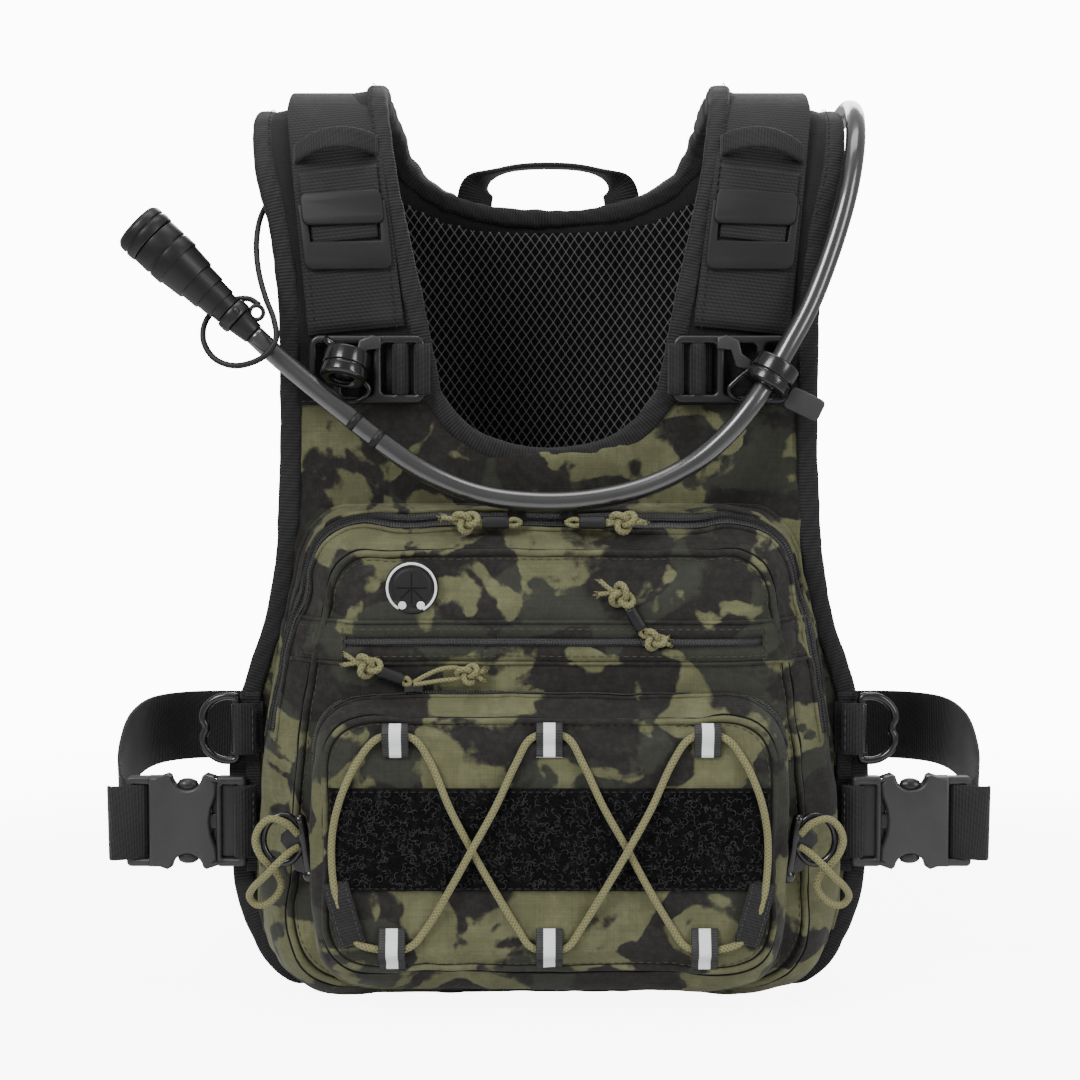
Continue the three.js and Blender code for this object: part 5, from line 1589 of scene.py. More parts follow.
def make_lace():
    # how far the lace stands off the cloth, for each mark in its table
    level = {0: 0.0, 1: 2.6, 2: 4.0, 4: 6.6}
    pts = []
    for x, z, k in LACE_XZ:
        y = front_of(SMALL_TREE, x, z, SMALL_FACE)
        pts.append((x, y - LACE_D / 2 - 0.2 - level[k], z))
    lace = tube("lace_cord_strand", smooth_line(pts, 1.4, True), LACE_D / 2, CORD, closed=True,
                sides=14)
    tag(lace, "cord", "lace_cord")
    pieces = {"upper": (UPPER_X, 138.5, 1), "lower": (LOWER_X, 33.5, -1)}
    for which, (places, z, toward) in pieces.items():
        first = None
        for n, x in enumerate(places):
            y = front_of(SMALL_TREE, x, z, SMALL_FACE)
            far = front_of(SMALL_TREE, x, z + toward * 8.4, y)
            near = front_of(SMALL_TREE, x, z - toward * 11.0, y)
            crest = y - LACE_D - 1.3
            pts = [(x, far - 0.7, z + toward * 9.4), (x, far - 1.6, z + toward * 5.6)]
            if toward > 0:
                pts = [(x, crest + 3.4, z + 5.2), (x, crest + 1.6, z + 3.8)]
            pts += [(x, crest, z + toward * 1.6), (x, crest + 0.1, z - toward * 1.6),
                   (x, crest + 2.1, z - toward * 5.6), (x, near - 1.0, z - toward * 10.8)]
            loop = band(f"{which}_loop_{n}", pts, (1, 0, 0), 13.0, 1.2, STRIPE, step=1.0)
            first = first or loop
            for s in (-1, 1):
                line = [(x + s * 3.9, p[1] - 0.62, p[2]) for p in smooth_line(pts, 1.5)[1:7]]
                stitches(f"{which}_loop_stitch_{n}_{s}", line, (0, -1, 0), THREAD_GREY,
                         length=1.6, gap=0.8, radius=0.2)
        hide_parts(f"{which}_lace_loops")
    # folded end tabs of dark webbing, one at each side
    for side, k in SIDES:
        x, z = k * 99.0, 52.0
        a = k * 0.27
        pts, across = [], (math.cos(a), 0, -math.sin(a))
        for s in np.linspace(-15.5, 15.5, 9):
            px, pz = x + math.sin(a) * s, z + math.cos(a) * s
            y = front_of(SMALL_TREE, px, pz, SMALL_FACE)
            pts.append((px, y - 2.7 - 2.3 * min(1, (15.5 - abs(s)) / 7), pz))
        band(f"{side}_lace_tab", pts, across, 12.5, 1.3, STRAP_WEB, step=1.2)
        under = [(p[0], p[1] + 2.6, p[2]) for p in pts]
        band(f"{side}_lace_tab_under", under, across, 12.2, 1.2, STRAP_WEB, step=1.2)
        for s in (-1, 1):
            line = [(p[0] + s * 4.6 * across[0], p[1] - 0.7, p[2] + s * 4.6 * across[2])
                    for p in pts]
            stitches(f"{side}_lace_tab_stitch_{s}", line, (0, -1, 0), THREAD_GREY, length=1.8,
                     gap=0.9, radius=0.22)


make_lace()


# ------------------------------------------------------------------ bite valve
def make_valve():
    def turn(name, profile, radius, material, body, node, slot):
        ob = turned(name, rounded_profile(profile, radius), VALVE_BASE, VALVE_AXIS, material,
                    body, 72)
        return tag(ob, slot, node)

    barrel = turn("bite_valve_body", [
        (0, 0), (0, 5.6), (9.6, 6.8), (9.6, 6.0), (16.4, 6.0), (16.4, 7.4), (21.4, 7.6),
        (21.4, 8.4), (29.4, 8.7), (29.4, 9.6), (38.4, 10.1), (38.4, 11.1), (50.4, 12.3),
        (50.4, 13.0), (57.0, 13.1), (57.0, 12.4), (58.4, 12.4), (58.4, 13.1), (66.8, 13.0),
        (66.8, 8.6), (75.4, 8.6), (75.4, 0)], 0.55, RUBBER_GLOSS, "vest", "valve_body", "rubber")
    cap = turn("bite_valve_cap", [
        (67.2, 9), (67.2, 13.4), (70.4, 13.7), (72.0, 13.6), (72.0, 12.8), (73.4, 12.8),
        (73.4, 13.5), (76.5, 13.2), (78.5, 11.6), (78.5, 0), (75.8, 0), (75.8, 9), (67.2, 9)],
        0.6, RUBBER_GLOSS, "bite_cap", "valve_cap", "rubber")
    collar = turn("shutoff_collar", [
        (10, 6.4), (10, 8.3), (11.6, 8.6), (14.4, 8.6), (16, 8.3), (16, 6.4), (10, 6.4)], 0.5,
        PLASTIC_DARK, "shutoff", "valve_collar", "hard_plastic")
    notch = tube("shutoff_notch", [on_valve(a, 8.0, 3.2) for a in (11.6, 13.0, 14.6)], 1.3,
                 PLASTIC_DARK, "shutoff", sides=8)
    ear = tube("valve_ear", [on_valve(6 + 3.4 * math.cos(a), 0, 8.8 + 3.4 * math.sin(a))
                             for a in np.linspace(0, 2 * math.pi, 25)[:-1]], 1.1, RUBBER_GLOSS,
               "vest", True, 10)
    for n, at in enumerate((0.885, 0.905)):
        i = int(at * (len(HOSE_LINE) - 1))
        tube(f"hose_ring_{n}", HOSE_LINE[i - 1:i + 2], 5.08, RUBBER, sides=24)
    declare(DRINKING_HOSE, HOSE_LINE, 10.0, far_end="fitting", stiffness="stiff", lay="loose",
            with_pieces=[barrel, cap, collar, notch, ear])


make_valve()


# ------------------------------------------------------------------ zip pulls
def knot(name, at, axis, size, radius, material, body):
    """Tied knot: a closed strand that passes over itself three times."""
    rot = Vector(axis).normalized().to_track_quat("X", "Z").to_matrix()
    pts = []
    for k in range(66):
        t = 2 * math.pi * k / 66
        p = Vector((math.sin(t) + 2 * math.sin(2 * t), -math.sin(3 * t) * 1.15,
                    math.cos(t) - 2 * math.cos(2 * t)))
        p = Vector((p.x * size * 1.12, p.y * radius * 1.05, p.z * size * 0.95))
        pts.append(tuple(rot @ p + Vector(at)))
    return tube(name, pts, radius, material, body, True, 10)


def frayed_end(name, start, toward, length, radius, material, body, seed):
    """Cord end with a few loose fibres."""
    rng = np.random.default_rng(seed)
    d = unit_vector(toward)
    bend = rng.normal(0, 0.12, 3)
    pts = [np.array(start) + d * length * s + bend * length * s * s for s in (0, 0.35, 0.7, 1)]
    parts = [tube(name, smooth_line(pts, 0.8), radius, material, body, sides=10)]
    for k in range(9):
        out = unit_vector(d + rng.normal(0, 0.32, 3))
        reach = rng.uniform(1.2, 2.8)
        root = pts[-1] + rng.normal(0, radius * 0.4, 3) - d * 0.8
        parts.append(tube(f"{name}_fibre_{k}", [root, root + out * reach * 0.6,
                                                root + out * reach + rng.normal(0, 0.2, 3)],
                          0.17, material, body, sides=5))
    return join(name, parts)


def pull_set(name, pull_body, eye, sleeve, tie, ends, node, seed):
    """Cord pull: a doubled cord from the slider's eye, through a sleeve, to a knot."""
    sleeve = [np.array(p, float) for p in sleeve]
    tie, eye = np.array(tie, float), np.array(eye, float)
    axis = unit_vector(tie - sleeve[0])
    wide = unit_vector(np.cross(axis, (0, -1, 0)))
    start = eye - axis * 1.2
    loop = [tie - wide * 0.6, sleeve[1] + wide * 0.9, sleeve[0] + wide * 1.1,
            (eye + sleeve[0]) / 2 + wide * 1.7, start,
            (eye + sleeve[0]) / 2 - wide * 1.7, sleeve[0] - wide * 1.1,
            sleeve[1] - wide * 0.9, tie + wide * 0.6]
    cord = tube(f"{name}_cord", smooth_line(loop, 1.0), 1.15, CORD, pull_body, sides=10)
    tag(cord, "cord", node)
    tube_ob = sweep(f"{name}_sleeve", smooth_line(sleeve, 1.5),
                    [(a * 1.22, b * 0.85) for a, b in circle_profile(2.55, 16)], RUBBER, pull_body,
                    (0, -1, 0))
    tied = knot(f"{name}_knot", tie, axis, 1.85, 1.6, CORD, pull_body)
    for n, e in enumerate(ends):
        e = np.array(e, float)
        root = tie + axis * 2.0 + wide * (1.6 if n else -1.6)
        d = e - root
        end = frayed_end(f"{name}_end_{n}", root, d, float(np.linalg.norm(d)), 1.2, CORD,
                         pull_body, seed + n)


def slider_eye(name, at, normal, along, body):
    """Arched bridge on top of a slider."""
    at, n, a = np.array(at, float), np.array(normal, float), unit_vector(along)
    pts = [at + a * x + n * h for x, h in ((-3.4, 0.2), (-3.0, 1.6), (-1.2, 2.4), (1.2, 2.4),
                                           (3.0, 1.6), (3.4, 0.2))]
    ob = sweep(name, smooth_line(pts, 0.7), tape_profile(3.0, 1.0), PLASTIC_DARK, body,
               np.cross(a, np.cross(n, a)))


def top_of(tree, x, y):
    """Height of the highest surface above a point, or of the pocket's top where none is met."""
    hit = tree.ray_cast(Vector((x, y, 300.0)), Vector((0, 0, -1)))
    return 236.0 if hit[0] is None else hit[0].z


def on_top(points, lift=2.3):
    """Points lying on the main pocket's top, from pairs of X and Y."""
    return [(x, y, top_of(MAIN_TREE, x, y) + lift) for x, y in points]


def make_pulls():
    n = (0, -0.388, 0.9215)
    slider_eye("left_main_bridge", (-16, -57.6, 245.6), n, (1, 0, 0), "left_main_slider")
    slider_eye("right_main_bridge", (10, -57.6, 245.6), n, (1, 0, 0), "right_main_slider")
    slider_eye("panel_bridge", (48, -84.2, 181), (0, -1, 0), (1, 0, 0.3), "panel_slider")
    slider_eye("small_bridge", (-66, -86.2, 160.6), (0, -0.35, 0.94), (1, 0, 0), "front_slider")
    pull_set("left_main_pull", "left_main_pull",
             on_top([(-15.0, -64.5)])[0], on_top([(-20.0, -67.0), (-33.0, -68.5)]),
             on_top([(-41.0, -69.5)], 3.0)[0], on_top([(-52.0, -66.0), (-53.0, -71.0)], 4.0),
             "main_zip_pull_left", 11)
    pull_set("right_main_pull", "right_main_pull",
             on_top([(9.5, -65.0)])[0], on_top([(15.0, -67.0), (28.0, -68.5)]),
             on_top([(36.5, -69.5)], 3.0)[0], on_top([(47.0, -67.0), (47.5, -72.0)], 4.0),
             "main_zip_pull_right", 21)
    pull_set("panel_pull", "panel_pull", (47.0, -86.4, 184.5),
             [(45.0, -87.2, 187.5), (39.0, -86.8, 197.5)], (35.2, -86.4, 203.5),
             [(25.0, -86.0, 210.5), (22.5, -86.0, 204.5)], "middle_zip_pull", 31)
    tied = knot("panel_slider_knot", (51.0, -87.2, 182.4), (1, 0, -0.5), 1.6, 1.5, CORD,
                "panel_slider")
    for k, e in enumerate(((6.5, 0, 1.5), (6.0, 0, -3.0))):
        end = frayed_end(f"panel_slider_end_{k}", (53.0, -87.2, 182.2), e, 6.0, 1.1, CORD,
                         "panel_slider", 41 + k)
    pull_set("small_pull", "front_pull", (-68.5, -88.6, 161.8),
             [(-71.0, -88.8, 163.0), (-82.5, -88.6, 167.2)], (-88.0, -88.4, 169.8),
             [(-98.5, -87.8, 175.5), (-99.0, -88.2, 170.5)], "small_zip_pull", 51)
    loop = tube("small_slider_loop", smooth_line([
        (-66, -88.6, 161.8), (-60, -88.4, 165.2), (-52, -88.0, 168.4), (-44, -87.8, 168.6),
        (-40, -88.0, 166.2), (-44, -88.2, 163.8), (-52, -88.4, 162.8), (-60, -88.6, 161.6),
        (-66, -88.8, 160.8)], 1.0), 1.15, CORD, "front_slider", sides=10)
    tied = knot("small_slider_knot", (-39.5, -88.8, 166.0), (1, 0, 0.3), 1.6, 1.45, CORD,
                "front_slider")
    for k, e in enumerate(((7, 0, 1.0), (6, 0, -2.5))):
        end = frayed_end(f"small_slider_end_{k}", (-37.5, -88.8, 166.0), e, 6.5, 1.1, CORD,
                         "front_slider", 61 + k)


make_pulls()


# ------------------------------------------------------------------ shoulder straps
def on_side(points, k):
    """Points of the right side, moved to side k."""
    return [(p[0] * k, p[1], p[2]) for p in points]


def pad_run(t0, t1, dx, lift, n):
    """n points along a shoulder pad beside its webbing's middle, with the pad's normals there."""
    out, normals = [], []
    for i in range(n):
        t = t0 + (t1 - t0) * i / (n - 1)
        out.append(pad_point(t, webbing_x(t) + dx, lift))
        normals.append(pad_normal(t))
    return np.array(out), np.array(normals)


def mirror_rows(rows, k):
    out = np.array(rows, float)
    out[:, 0] *= k
    return out


def pad_slab(name, k, outline, lift, thick, material, body, bevel):
    """Plate whose outline is given as (distance from the webbing's middle, height), laid on the
    shoulder so that it follows its curve."""
    ob = slab(name, outline, 0.0, thick, material, body, bevel)
    bm = bmesh.new()
    bm.from_mesh(ob.data)
    zs = [v.co.z for v in bm.verts]
    row = 0.004  # metres between the cuts that let it bend
    z = min(zs) + row
    while z < max(zs) - row / 2:
        bmesh.ops.bisect_plane(bm, geom=bm.verts[:] + bm.edges[:] + bm.faces[:], dist=1e-7,
                               plane_co=(0, 0, z), plane_no=(0, 0, 1))
        z += row
    for v in bm.verts:
        t = pad_at(v.co.z / MM)
        p = pad_point(t, webbing_x(t) + v.co.x / MM, lift + thick - v.co.y / MM)
        v.co = (p[0] * k * MM, p[1] * MM, p[2] * MM)
    bmesh.ops.recalc_face_normals(bm, faces=bm.faces)
    bm.to_mesh(ob.data)
    bm.free()
    return ob


def make_shoulders():
    web_lift = PAD_THICK / 2 + 1.7
    t_low, t_arch = pad_at(333.0), pad_at(424.0)
    for side, k in SIDES:
        mid, nrm = pad_run(t_low, 0.985, 0.0, web_lift, 70)
        wide = np.array([1.06 - 0.10 * min(1.0, i / 30) for i in range(70)])
        web = sweep(f"{side}_webbing_band", mirror_rows(mid, k), tape_profile(46, 2.0), WIDE_WEB,
                    "vest", mirror_rows(nrm, k), sizes=np.stack([wide, np.ones(70)], 1), flat=True)
        tag(web, "webbing", f"{side}_shoulder_webbing")
        for dx in (-20.5, 20.5):
            run, normals = pad_run(t_low, 0.6, dx, web_lift + 1.1, 60)
            stitches(f"{side}_webbing_stitch_{int(dx)}", mirror_rows(run, k),
                     mirror_rows(normals, k), THREAD)
        # topstitching on the pad beside its edges, and one seam across it
        for share in (0.10, 0.90):
            run, normals = [], []
            for t in np.linspace(pad_at(306), 0.9, 70):
                e = pad_row(t)[2]
                run.append(pad_point(t, e[0] + (e[1] - e[0]) * share, PAD_THICK / 2 + 1.2))
                normals.append(pad_normal(t))
            stitches(f"{side}_pad_stitch_{int(share * 100)}", mirror_rows(run, k),
                     mirror_rows(normals, k), THREAD)
        # arched gear loop
        tangent = pad_row(t_arch)[1]
        arch = []
        for i in range(31):
            s = i / 30
            x = webbing_x(t_arch) + (s - 0.5) * 41
            rise = 12.8 * math.sin(math.pi * s) ** 0.8
            arch.append(pad_point(t_arch, x, web_lift + 0.9 + rise))
        arch = mirror_rows(arch, k)
        along = np.gradient(arch, axis=0)
        up = np.cross(np.repeat([[0, tangent[1], tangent[2]]], 31, 0), along)
        loop = sweep(f"{side}_gear_loop", arch, tape_profile(12, 2.0), STRAP_WEB, "vest", up,
                     flat=True)
        # flap of webbing with a moulded tab at its end
        tab = pad_slab(f"{side}_flap_tab", k, [(x, z) for x, z in rounded_rect(
            -20.4, 20.4, 385.5, 402.5, 3.6)], 8.6, 2.6, RUBBER, f"{side}_flap", 0.9)
        cloth, normals = pad_run(pad_at(397), pad_at(413.6), 0.0, 8.5, 12)
        flap = sweep(f"{side}_flap_webbing", mirror_rows(cloth, k), tape_profile(39.5, 1.7),
                     WIDE_WEB, f"{side}_flap", mirror_rows(normals, k), flat=True)
        under, normals = pad_run(pad_at(378), pad_at(388), 0.0, 8.2, 8)
        tongue = sweep(f"{side}_flap_tongue", mirror_rows(under, k), tape_profile(33, 1.4),
                       WIDE_WEB, f"{side}_flap", mirror_rows(normals, k), flat=True)
        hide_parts(f"{side}_strap_flap")
        # open plate the flap tucks into
        outline = ([(-22, 396.8), (-22, 367.5)]
                   + [(-18 + 4 * math.cos(a), 367.5 + 4 * math.sin(a))
                      for a in np.linspace(math.pi, 1.5 * math.pi, 6)[1:]]
                   + [(18 + 4 * math.cos(a), 367.5 + 4 * math.sin(a))
                      for a in np.linspace(1.5 * math.pi, 2 * math.pi, 6)]
                   + [(22, 396.8), (18.2, 396.8), (17.6, 377.4), (-17.6, 377.4), (-18.2, 396.8)])
        plate = pad_slab(f"{side}_tuck_plate", k, outline, 7.6, 2.4, RUBBER, "vest", 0.8)
        tag(plate, "rubber", f"{side}_strap_plate")
        # seam where the shoulder meets the front panel
        for z in (346.0, 351.0):
            t = pad_at(z)
            e = pad_row(t)[2]
            run = [pad_point(t, x, PAD_THICK / 2 + 1.0) for x in
                   np.arange(e[0] + 5, webbing_x(t) - 24, 1.0)]
            if len(run) > 3:
                stitches(f"{side}_pad_seam_{int(z)}", mirror_rows(run, k),
                         mirror_rows([pad_normal(t)] * len(run), k), THREAD)


def make_shoulder_buckles():
    for side, k in SIDES:
        y0, y1 = -42.6, -37.9
        frame_outline = on2(rounded_rect(62, 120, 296.6, 330.6, 5.0), k)
        holes = [on2(rounded_rect(*h, 2.2), k) for h in (
            (65.4, 73.0, 301, 326.6), (76.2, 84.0, 301, 326.6), (88.0, 104.0, 300.6, 326.4),
            (108.0, 116.4, 300.8, 326.6))]
        frame = slab(f"{side}_buckle_frame", frame_outline, y0, y1, PLASTIC_DARK, "vest", 1.4, 3,
                     holes)
        tag(frame, "hard_plastic", f"{side}_shoulder_buckle")
        hook = [(84, 329.6), (84, 324.0), (91, 323.2), (93.5, 315.0), (100.5, 313.2),
                (101.5, 318.0), (96.5, 321.5), (95.0, 328.2), (88.5, 330.8)]
        catch = slab(f"{side}_buckle_catch", on2(hook, k), -45.0, -41.0, PLASTIC, "vest", 1.1, 3)
        rod = tube(f"{side}_buckle_spring", on_side(smooth_line([
            (101.5, -44.0, 314.5), (94.0, -44.4, 308.5), (90.0, -44.4, 303.5),
            (94.0, -44.2, 298.6), (104.0, -44.0, 297.6), (112.0, -43.6, 299.6)], 1.0), k), 1.3,
            GLOSS, "vest", sides=12)
        # webbing wrapped round the ladder bars
        for n, x in enumerate((74.6, 63.6)):
            pts = []
            for i in range(19):
                a = math.pi * (0.08 + 1.15 * i / 18)
                pts.append((x - 3.4 * math.cos(a), -38.6 - 5.0 * max(-0.12, math.sin(a)), 313.8))
            wrap = band(f"{side}_ladder_wrap_{n}", on_side(pts, k), (0, 0, 1), 25.5, 1.4,
                        STRAP_WEB, step=0.8)
        tail = band(f"{side}_ladder_tail", on_side([(61.5, -36.4, 313.6), (66, -36.6, 313.6),
                                                   (74, -36.8, 313.6), (82, -36.9, 313.6)], k),
                    (0, 0, 1), 27.0, 1.4, STRAP_WEB)


def make_shoulder_seams():
    for side, k in SIDES:
        line = on_side([(x, -34.4, 300.0) for x in range(55, 136, 5)], k)
        seam = band(f"{side}_shoulder_seam", line, (0, 0, 1), 9.0, 1.6, CLOTH_FINE)
        rear = slab(f"{side}_seam_backing", on2([(57, 290), (134, 290), (134, 312), (58, 312)],
                                                k), -32.8, -28.2, CLOTH, "vest", 0.8)
        back = slab(f"{side}_rear_seam", on2([(75, 412), (141, 412), (143.5, 437), (79, 437)], k),
                    84.9, 91.6, CLOTH, "vest", 1.2, 3)
        stitches(f"{side}_shoulder_seam_stitches", on_side(
            [(x, -35.3, 297.5) for x in range(56, 135)], k), (0, -1, 0), THREAD_OLIVE)


def on2(outline, k):
    """Outline in X and Z, mirrored when k is -1, with its turn kept."""
    return outline if k > 0 else [(-x, z) for x, z in reversed(outline)]


def clip_ring(name, centre, axis, body, node):
    """Short tube that holds the hose, with a groove round it."""
    bore, outer, half = 5.5, 11.5, 7.4
    profile = [(-half, bore), (-half, outer - 0.6), (-half + 0.7, outer), (0.6, outer + 0.1),
               (0.6, outer - 1.0), (1.8, outer - 1.0), (1.8, outer + 0.1), (half - 1.2, outer),
               (half, outer - 1.4), (half, bore + 1.6), (half - 1.4, bore), (-half, bore)]
    tag(turned(name, rounded_profile(profile, 0.5), centre, axis, GLOSS, body, 72),
        "gloss_plastic", node)


def make_hose_clips():
    along = np.array((101 - 119.5, -57.5 - (CLIP_Y + 2), 297 - 326.5))
    clip_ring("right_clip_ring", (110.5, CLIP_Y, 311), along, "vest", "right_hose_clip")
    clip_ring("left_clip_ring", (-101, CLIP_Y - 1.6, 315), (-0.18, -0.42, -0.89), "spare_clip",
              "left_hose_clip")
    for name, x, z, body in (("right_clip_foot", 110.5, 311, "vest"),
                             ("left_clip_foot", -101, 315, "spare_clip")):
        y = CLIP_Y + 8.0
        foot = turned(name, rounded_profile([(0, 0), (0, 5.0), (3.6, 5.4), (3.6, 0)], 0.5),
                      (x, y, z), (0, 1, 0), PLASTIC_DARK, body, 40)
    arm = tube("left_clip_arm", [(-104, -46.0, 321), (-108, -46.6, 326), (-112, -45.4, 329)], 2.0,
               GLOSS, "spare_clip", sides=12)
    a = -0.45
    outline = []
    for x, z in rounded_rect(-9.5, 9.5, -5.8, 5.8, 2.6):
        outline.append((126.8 + x * math.cos(a) - z * math.sin(a),
                        296.4 + x * math.sin(a) + z * math.cos(a)))
    lever = slab("clip_lever_tab", outline, CLIP_Y - 0.6, CLIP_Y + 2.6, PLASTIC, "clip_lever",
                 1.0, 3)
    tag(lever, "hard_plastic", "hose_clip_lever")


make_shoulders()
make_shoulder_seams()
make_shoulder_buckles()
make_hose_clips()


# ------------------------------------------------------------------ sides: straps, rings, buckles
def arc(cx, cz, r, a0, a1):
    """Points round a middle from one angle to another, in degrees."""
    angles = [math.radians(a0 + (a1 - a0) * i / 14) for i in range(15)]
    return [(cx + r * math.cos(a), cz + r * math.sin(a)) for a in angles]


def doubled_tab(root, bar_x, bar_y, reach, z):
    return [(root - 4, -34.4, z), (root + 0.6, -34.6, z),
            ((root + bar_x) / 2, (FRONT_FACE + bar_y + reach) / 2, z),
            (bar_x + 0.6, bar_y + reach, z), (bar_x + reach, bar_y, z),
            (bar_x + 0.6, bar_y - reach, z), ((root + bar_x) / 2, bar_y - reach + 0.6, z),
            (root - 1.0, bar_y - reach + 2, z)]


def make_buckles():
    z0 = BUCKLE_Z
    body = ([(202.6, 108), (191.0, 108)] + arc(183.3, 109.2, 7.9, -9, -171)
            + [(175.6, 108), (171.0, 107.6), (168.0, 104.5), (168.4, 98.5), (171.0, 91.5),
               (171.8, 85.0), (171.0, 78.5), (168.4, 71.5), (168.0, 65.5), (171.0, 62.4),
               (175.6, 62)] + arc(183.3, 60.8, 7.9, 171, 9) + [(191.0, 62), (202.6, 62)])
    for side, k in SIDES:
        end = f"{side}_strap_end"
        shell = slab(f"{side}_female_shell", on2(body, k), -46.0, -36.0, PLASTIC, end, 1.7, 4)
        ladder = slab(f"{side}_female_ladder", on2(rounded_rect(200.5, 214.2, 62.0, 108.0, 2.4),
                                                   k), -44.6, -37.6, PLASTIC, end, 1.3, 3,
                      [on2(rounded_rect(202.6, 210.8, 66.0, 104.0, 1.0), k)])
        bar = tube(f"{side}_female_bar", on_side([(207.4, -41, z) for z in (63, 74, 85, 96, 107)],
                                                 k), 1.7, PLASTIC, end, sides=12)
        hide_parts(f"{side}_buckle_female")
        base = slab(f"{side}_male_base", on2(rounded_rect(153.4, 168.6, 62.0, 108.0, 2.2), k),
                    -45.0, -37.0, PLASTIC, "vest", 1.5, 3,
                    [on2(rounded_rect(157.4, 165.6, 66.2, 103.8, 1.0), k)])
        guide = slab(f"{side}_male_guide", on2(rounded_rect(165.5, 190, 81, 89, 1.5), k), -43.2,
                     -38.8, PLASTIC_DARK, "vest", 0.9, 2)
        web = slab(f"{side}_male_root", on2(rounded_rect(158.0, 171.0, 66.0, 104.0, 1.5), k), -41.6,
                   -38.4, PLASTIC_DARK, "vest", 0.8, 2)
        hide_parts(f"{side}_buckle_male")
        for which, s in (("upper", 1), ("lower", -1)):
            barb = turned(f"{side}_{which}_barb", rounded_profile(
                [(-5.6, 0), (-4.6, 2.6), (-1.5, 3.7), (2.0, 3.6), (4.8, 2.4), (5.7, 0)], 1.0),
                (k * 183.2, -41.0, z0 + s * 18.2), (1, 0, 0), PLASTIC_DARK,
                f"{side}_{which}_latch", 32)
        # webbing sewn to the vest and folded round the male half's bar
        tab = band(f"{side}_anchor_webbing", on_side(doubled_tab(149.4, 155.6, -41, 3.6, z0), k),
                   (0, 0, 1), 37.4, 1.6, STRAP_WEB, step=0.9)
        tag(tab, "webbing", f"{side}_side_webbing")
        wrap = band(f"{side}_anchor_wrap", on_side([
            (149.0, -42.6, z0), (151.6, -45.0, z0), (154.6, -46.4, z0), (157.6, -45.6, z0),
            (159.0, -42.4, z0), (158.4, -39.4, z0)], k), (0, 0, 1), 36.4, 1.5, STRAP_WEB,
            step=0.7)
        ring_tab = band(f"{side}_ring_tab", on_side(doubled_tab(149.4, 156.5, -39, 3.4, 132.0), k),
                        (0, 0, 1), 26.6, 1.5, STRAP_WEB, step=0.9)
        for name, x, za, zb in (("ring", 149.8, 120.5, 143.5), ("buckle", 149.6, 68.5, 101.5)):
            line = [(k * x, -42.6 if name == "ring" else -44.2, z) for z in np.arange(za, zb, 1)]
            stitches(f"{side}_{name}_tab_stitches", line, (0, -1, 0), THREAD_GREY, radius=0.3)
        # long tape that both tabs are sewn under
        tape = band(f"{side}_anchor_tape", on_side([(150.4, -34.6, z) for z in
                                                   (58, 80, 104, 128, 150)], k), (1, 0, 0), 8.0,
                    1.6, STRAP_WEB)


def make_rings():
    x, mid, half = 158.5, 132.0, 16.5
    lobe = [(3.5, half), (9, half - 0.8), (13.8, half - 4.0), (16.6, half - 8.4),
            (16.8, half - 12.4), (15.5, half - 15.3)]
    shape = [(0, -half + 1), (0, -half / 2), (0, 0), (0, half / 2), (0, half - 1)] + lobe
    shape += [(dx, -dz) for dx, dz in reversed(lobe)]
    for side, k in SIDES:
        pts = [(k * (x + dx), -39.0, mid + dz) for dx, dz in shape]
        wire = tube(f"{side}_d_ring_wire", smooth_line(pts, 0.8, True), 2.0, GLOSS,
                    f"{side}_ring", True, 16)
        tag(wire, "gloss_plastic", f"{side}_d_ring")
        barrel = turned(f"{side}_d_ring_bar", rounded_profile(
            [(-12.5, 0), (-12.5, 2.5), (12.5, 2.5), (12.5, 0)], 0.6), (k * x, -39.4, mid),
            (0, 0, 1), GLOSS, f"{side}_ring", 28)


def make_hooks():
    hx, hy, hz = 119.6, -84.0, 80.0  # middle of the right hook's bar
    for side, k in SIDES:
        body = f"{side}_clip_hook"
        eye = tube(f"{side}_hook_eye", [
            (k * (hx + 11 + 9.6 * math.cos(a)), hy - 1 + 0.6 * math.sin(a), hz + 4
             + 11.7 * math.sin(a)) for a in np.linspace(0, 2 * math.pi, 49)[:-1]], 1.9, GLOSS,
            body, True, 14)
        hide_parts(f"{side}_hook")
        bar = tube(f"{side}_hook_bar", on_side(smooth_line([
            (122.0, hy + 0.2, 93.2), (121.0, hy, 88), (119.8, hy, 80), (118.2, hy, 72),
            (117.0, hy, 66.6)], 1.0), k), 3.1, GLOSS, body, sides=20)
        for n, (bx, bz, r) in enumerate(((122.1, 93.4, 3.15), (116.9, 66.0, 3.9))):
            prof = [(r * math.cos(a) * -1, r * math.sin(a)) for a in np.linspace(0, math.pi, 17)]
            prof[0], prof[-1] = (-r, 0), (r, 0)
            turned(f"{side}_hook_ball_{n}", prof, (k * bx, hy, bz), (0, 0, 1), GLOSS,
                                body, 28)
        beak = [(120.0, 93.5), (124.5, 92.0), (131.0, 86.5), (131.6, 83.0), (128.6, 79.0),
                (128.0, 74.5), (124.0, 68.5), (119.0, 67.0)]
        slab(f"{side}_hook_beak", on2(beak, k), hy - 2.2, hy + 1.4, PLASTIC_DARK,
                          body, 1.0, 3)


STRAP_ROUTE = [
    (120, 93.4, 113.5), (128, 93.4, 114), (145, 93.4, 114), (170, 90.9, 115), (200, 80.4, 116),
    (216, 58.4, 116), (222.5, 28, 112), (223.5, 4, 103.5), (222.0, -16, 93.5), (218.5, -29, 87.5),
    (214.2, -35.4, 85.4), (208.6, -38.2, 85), (203.6, -41, 85), (208.4, -44.2, 85),
    (216, -45.6, 84.6), (221.5, -43.4, 84.0), (223.6, -38.5, 83.4)]


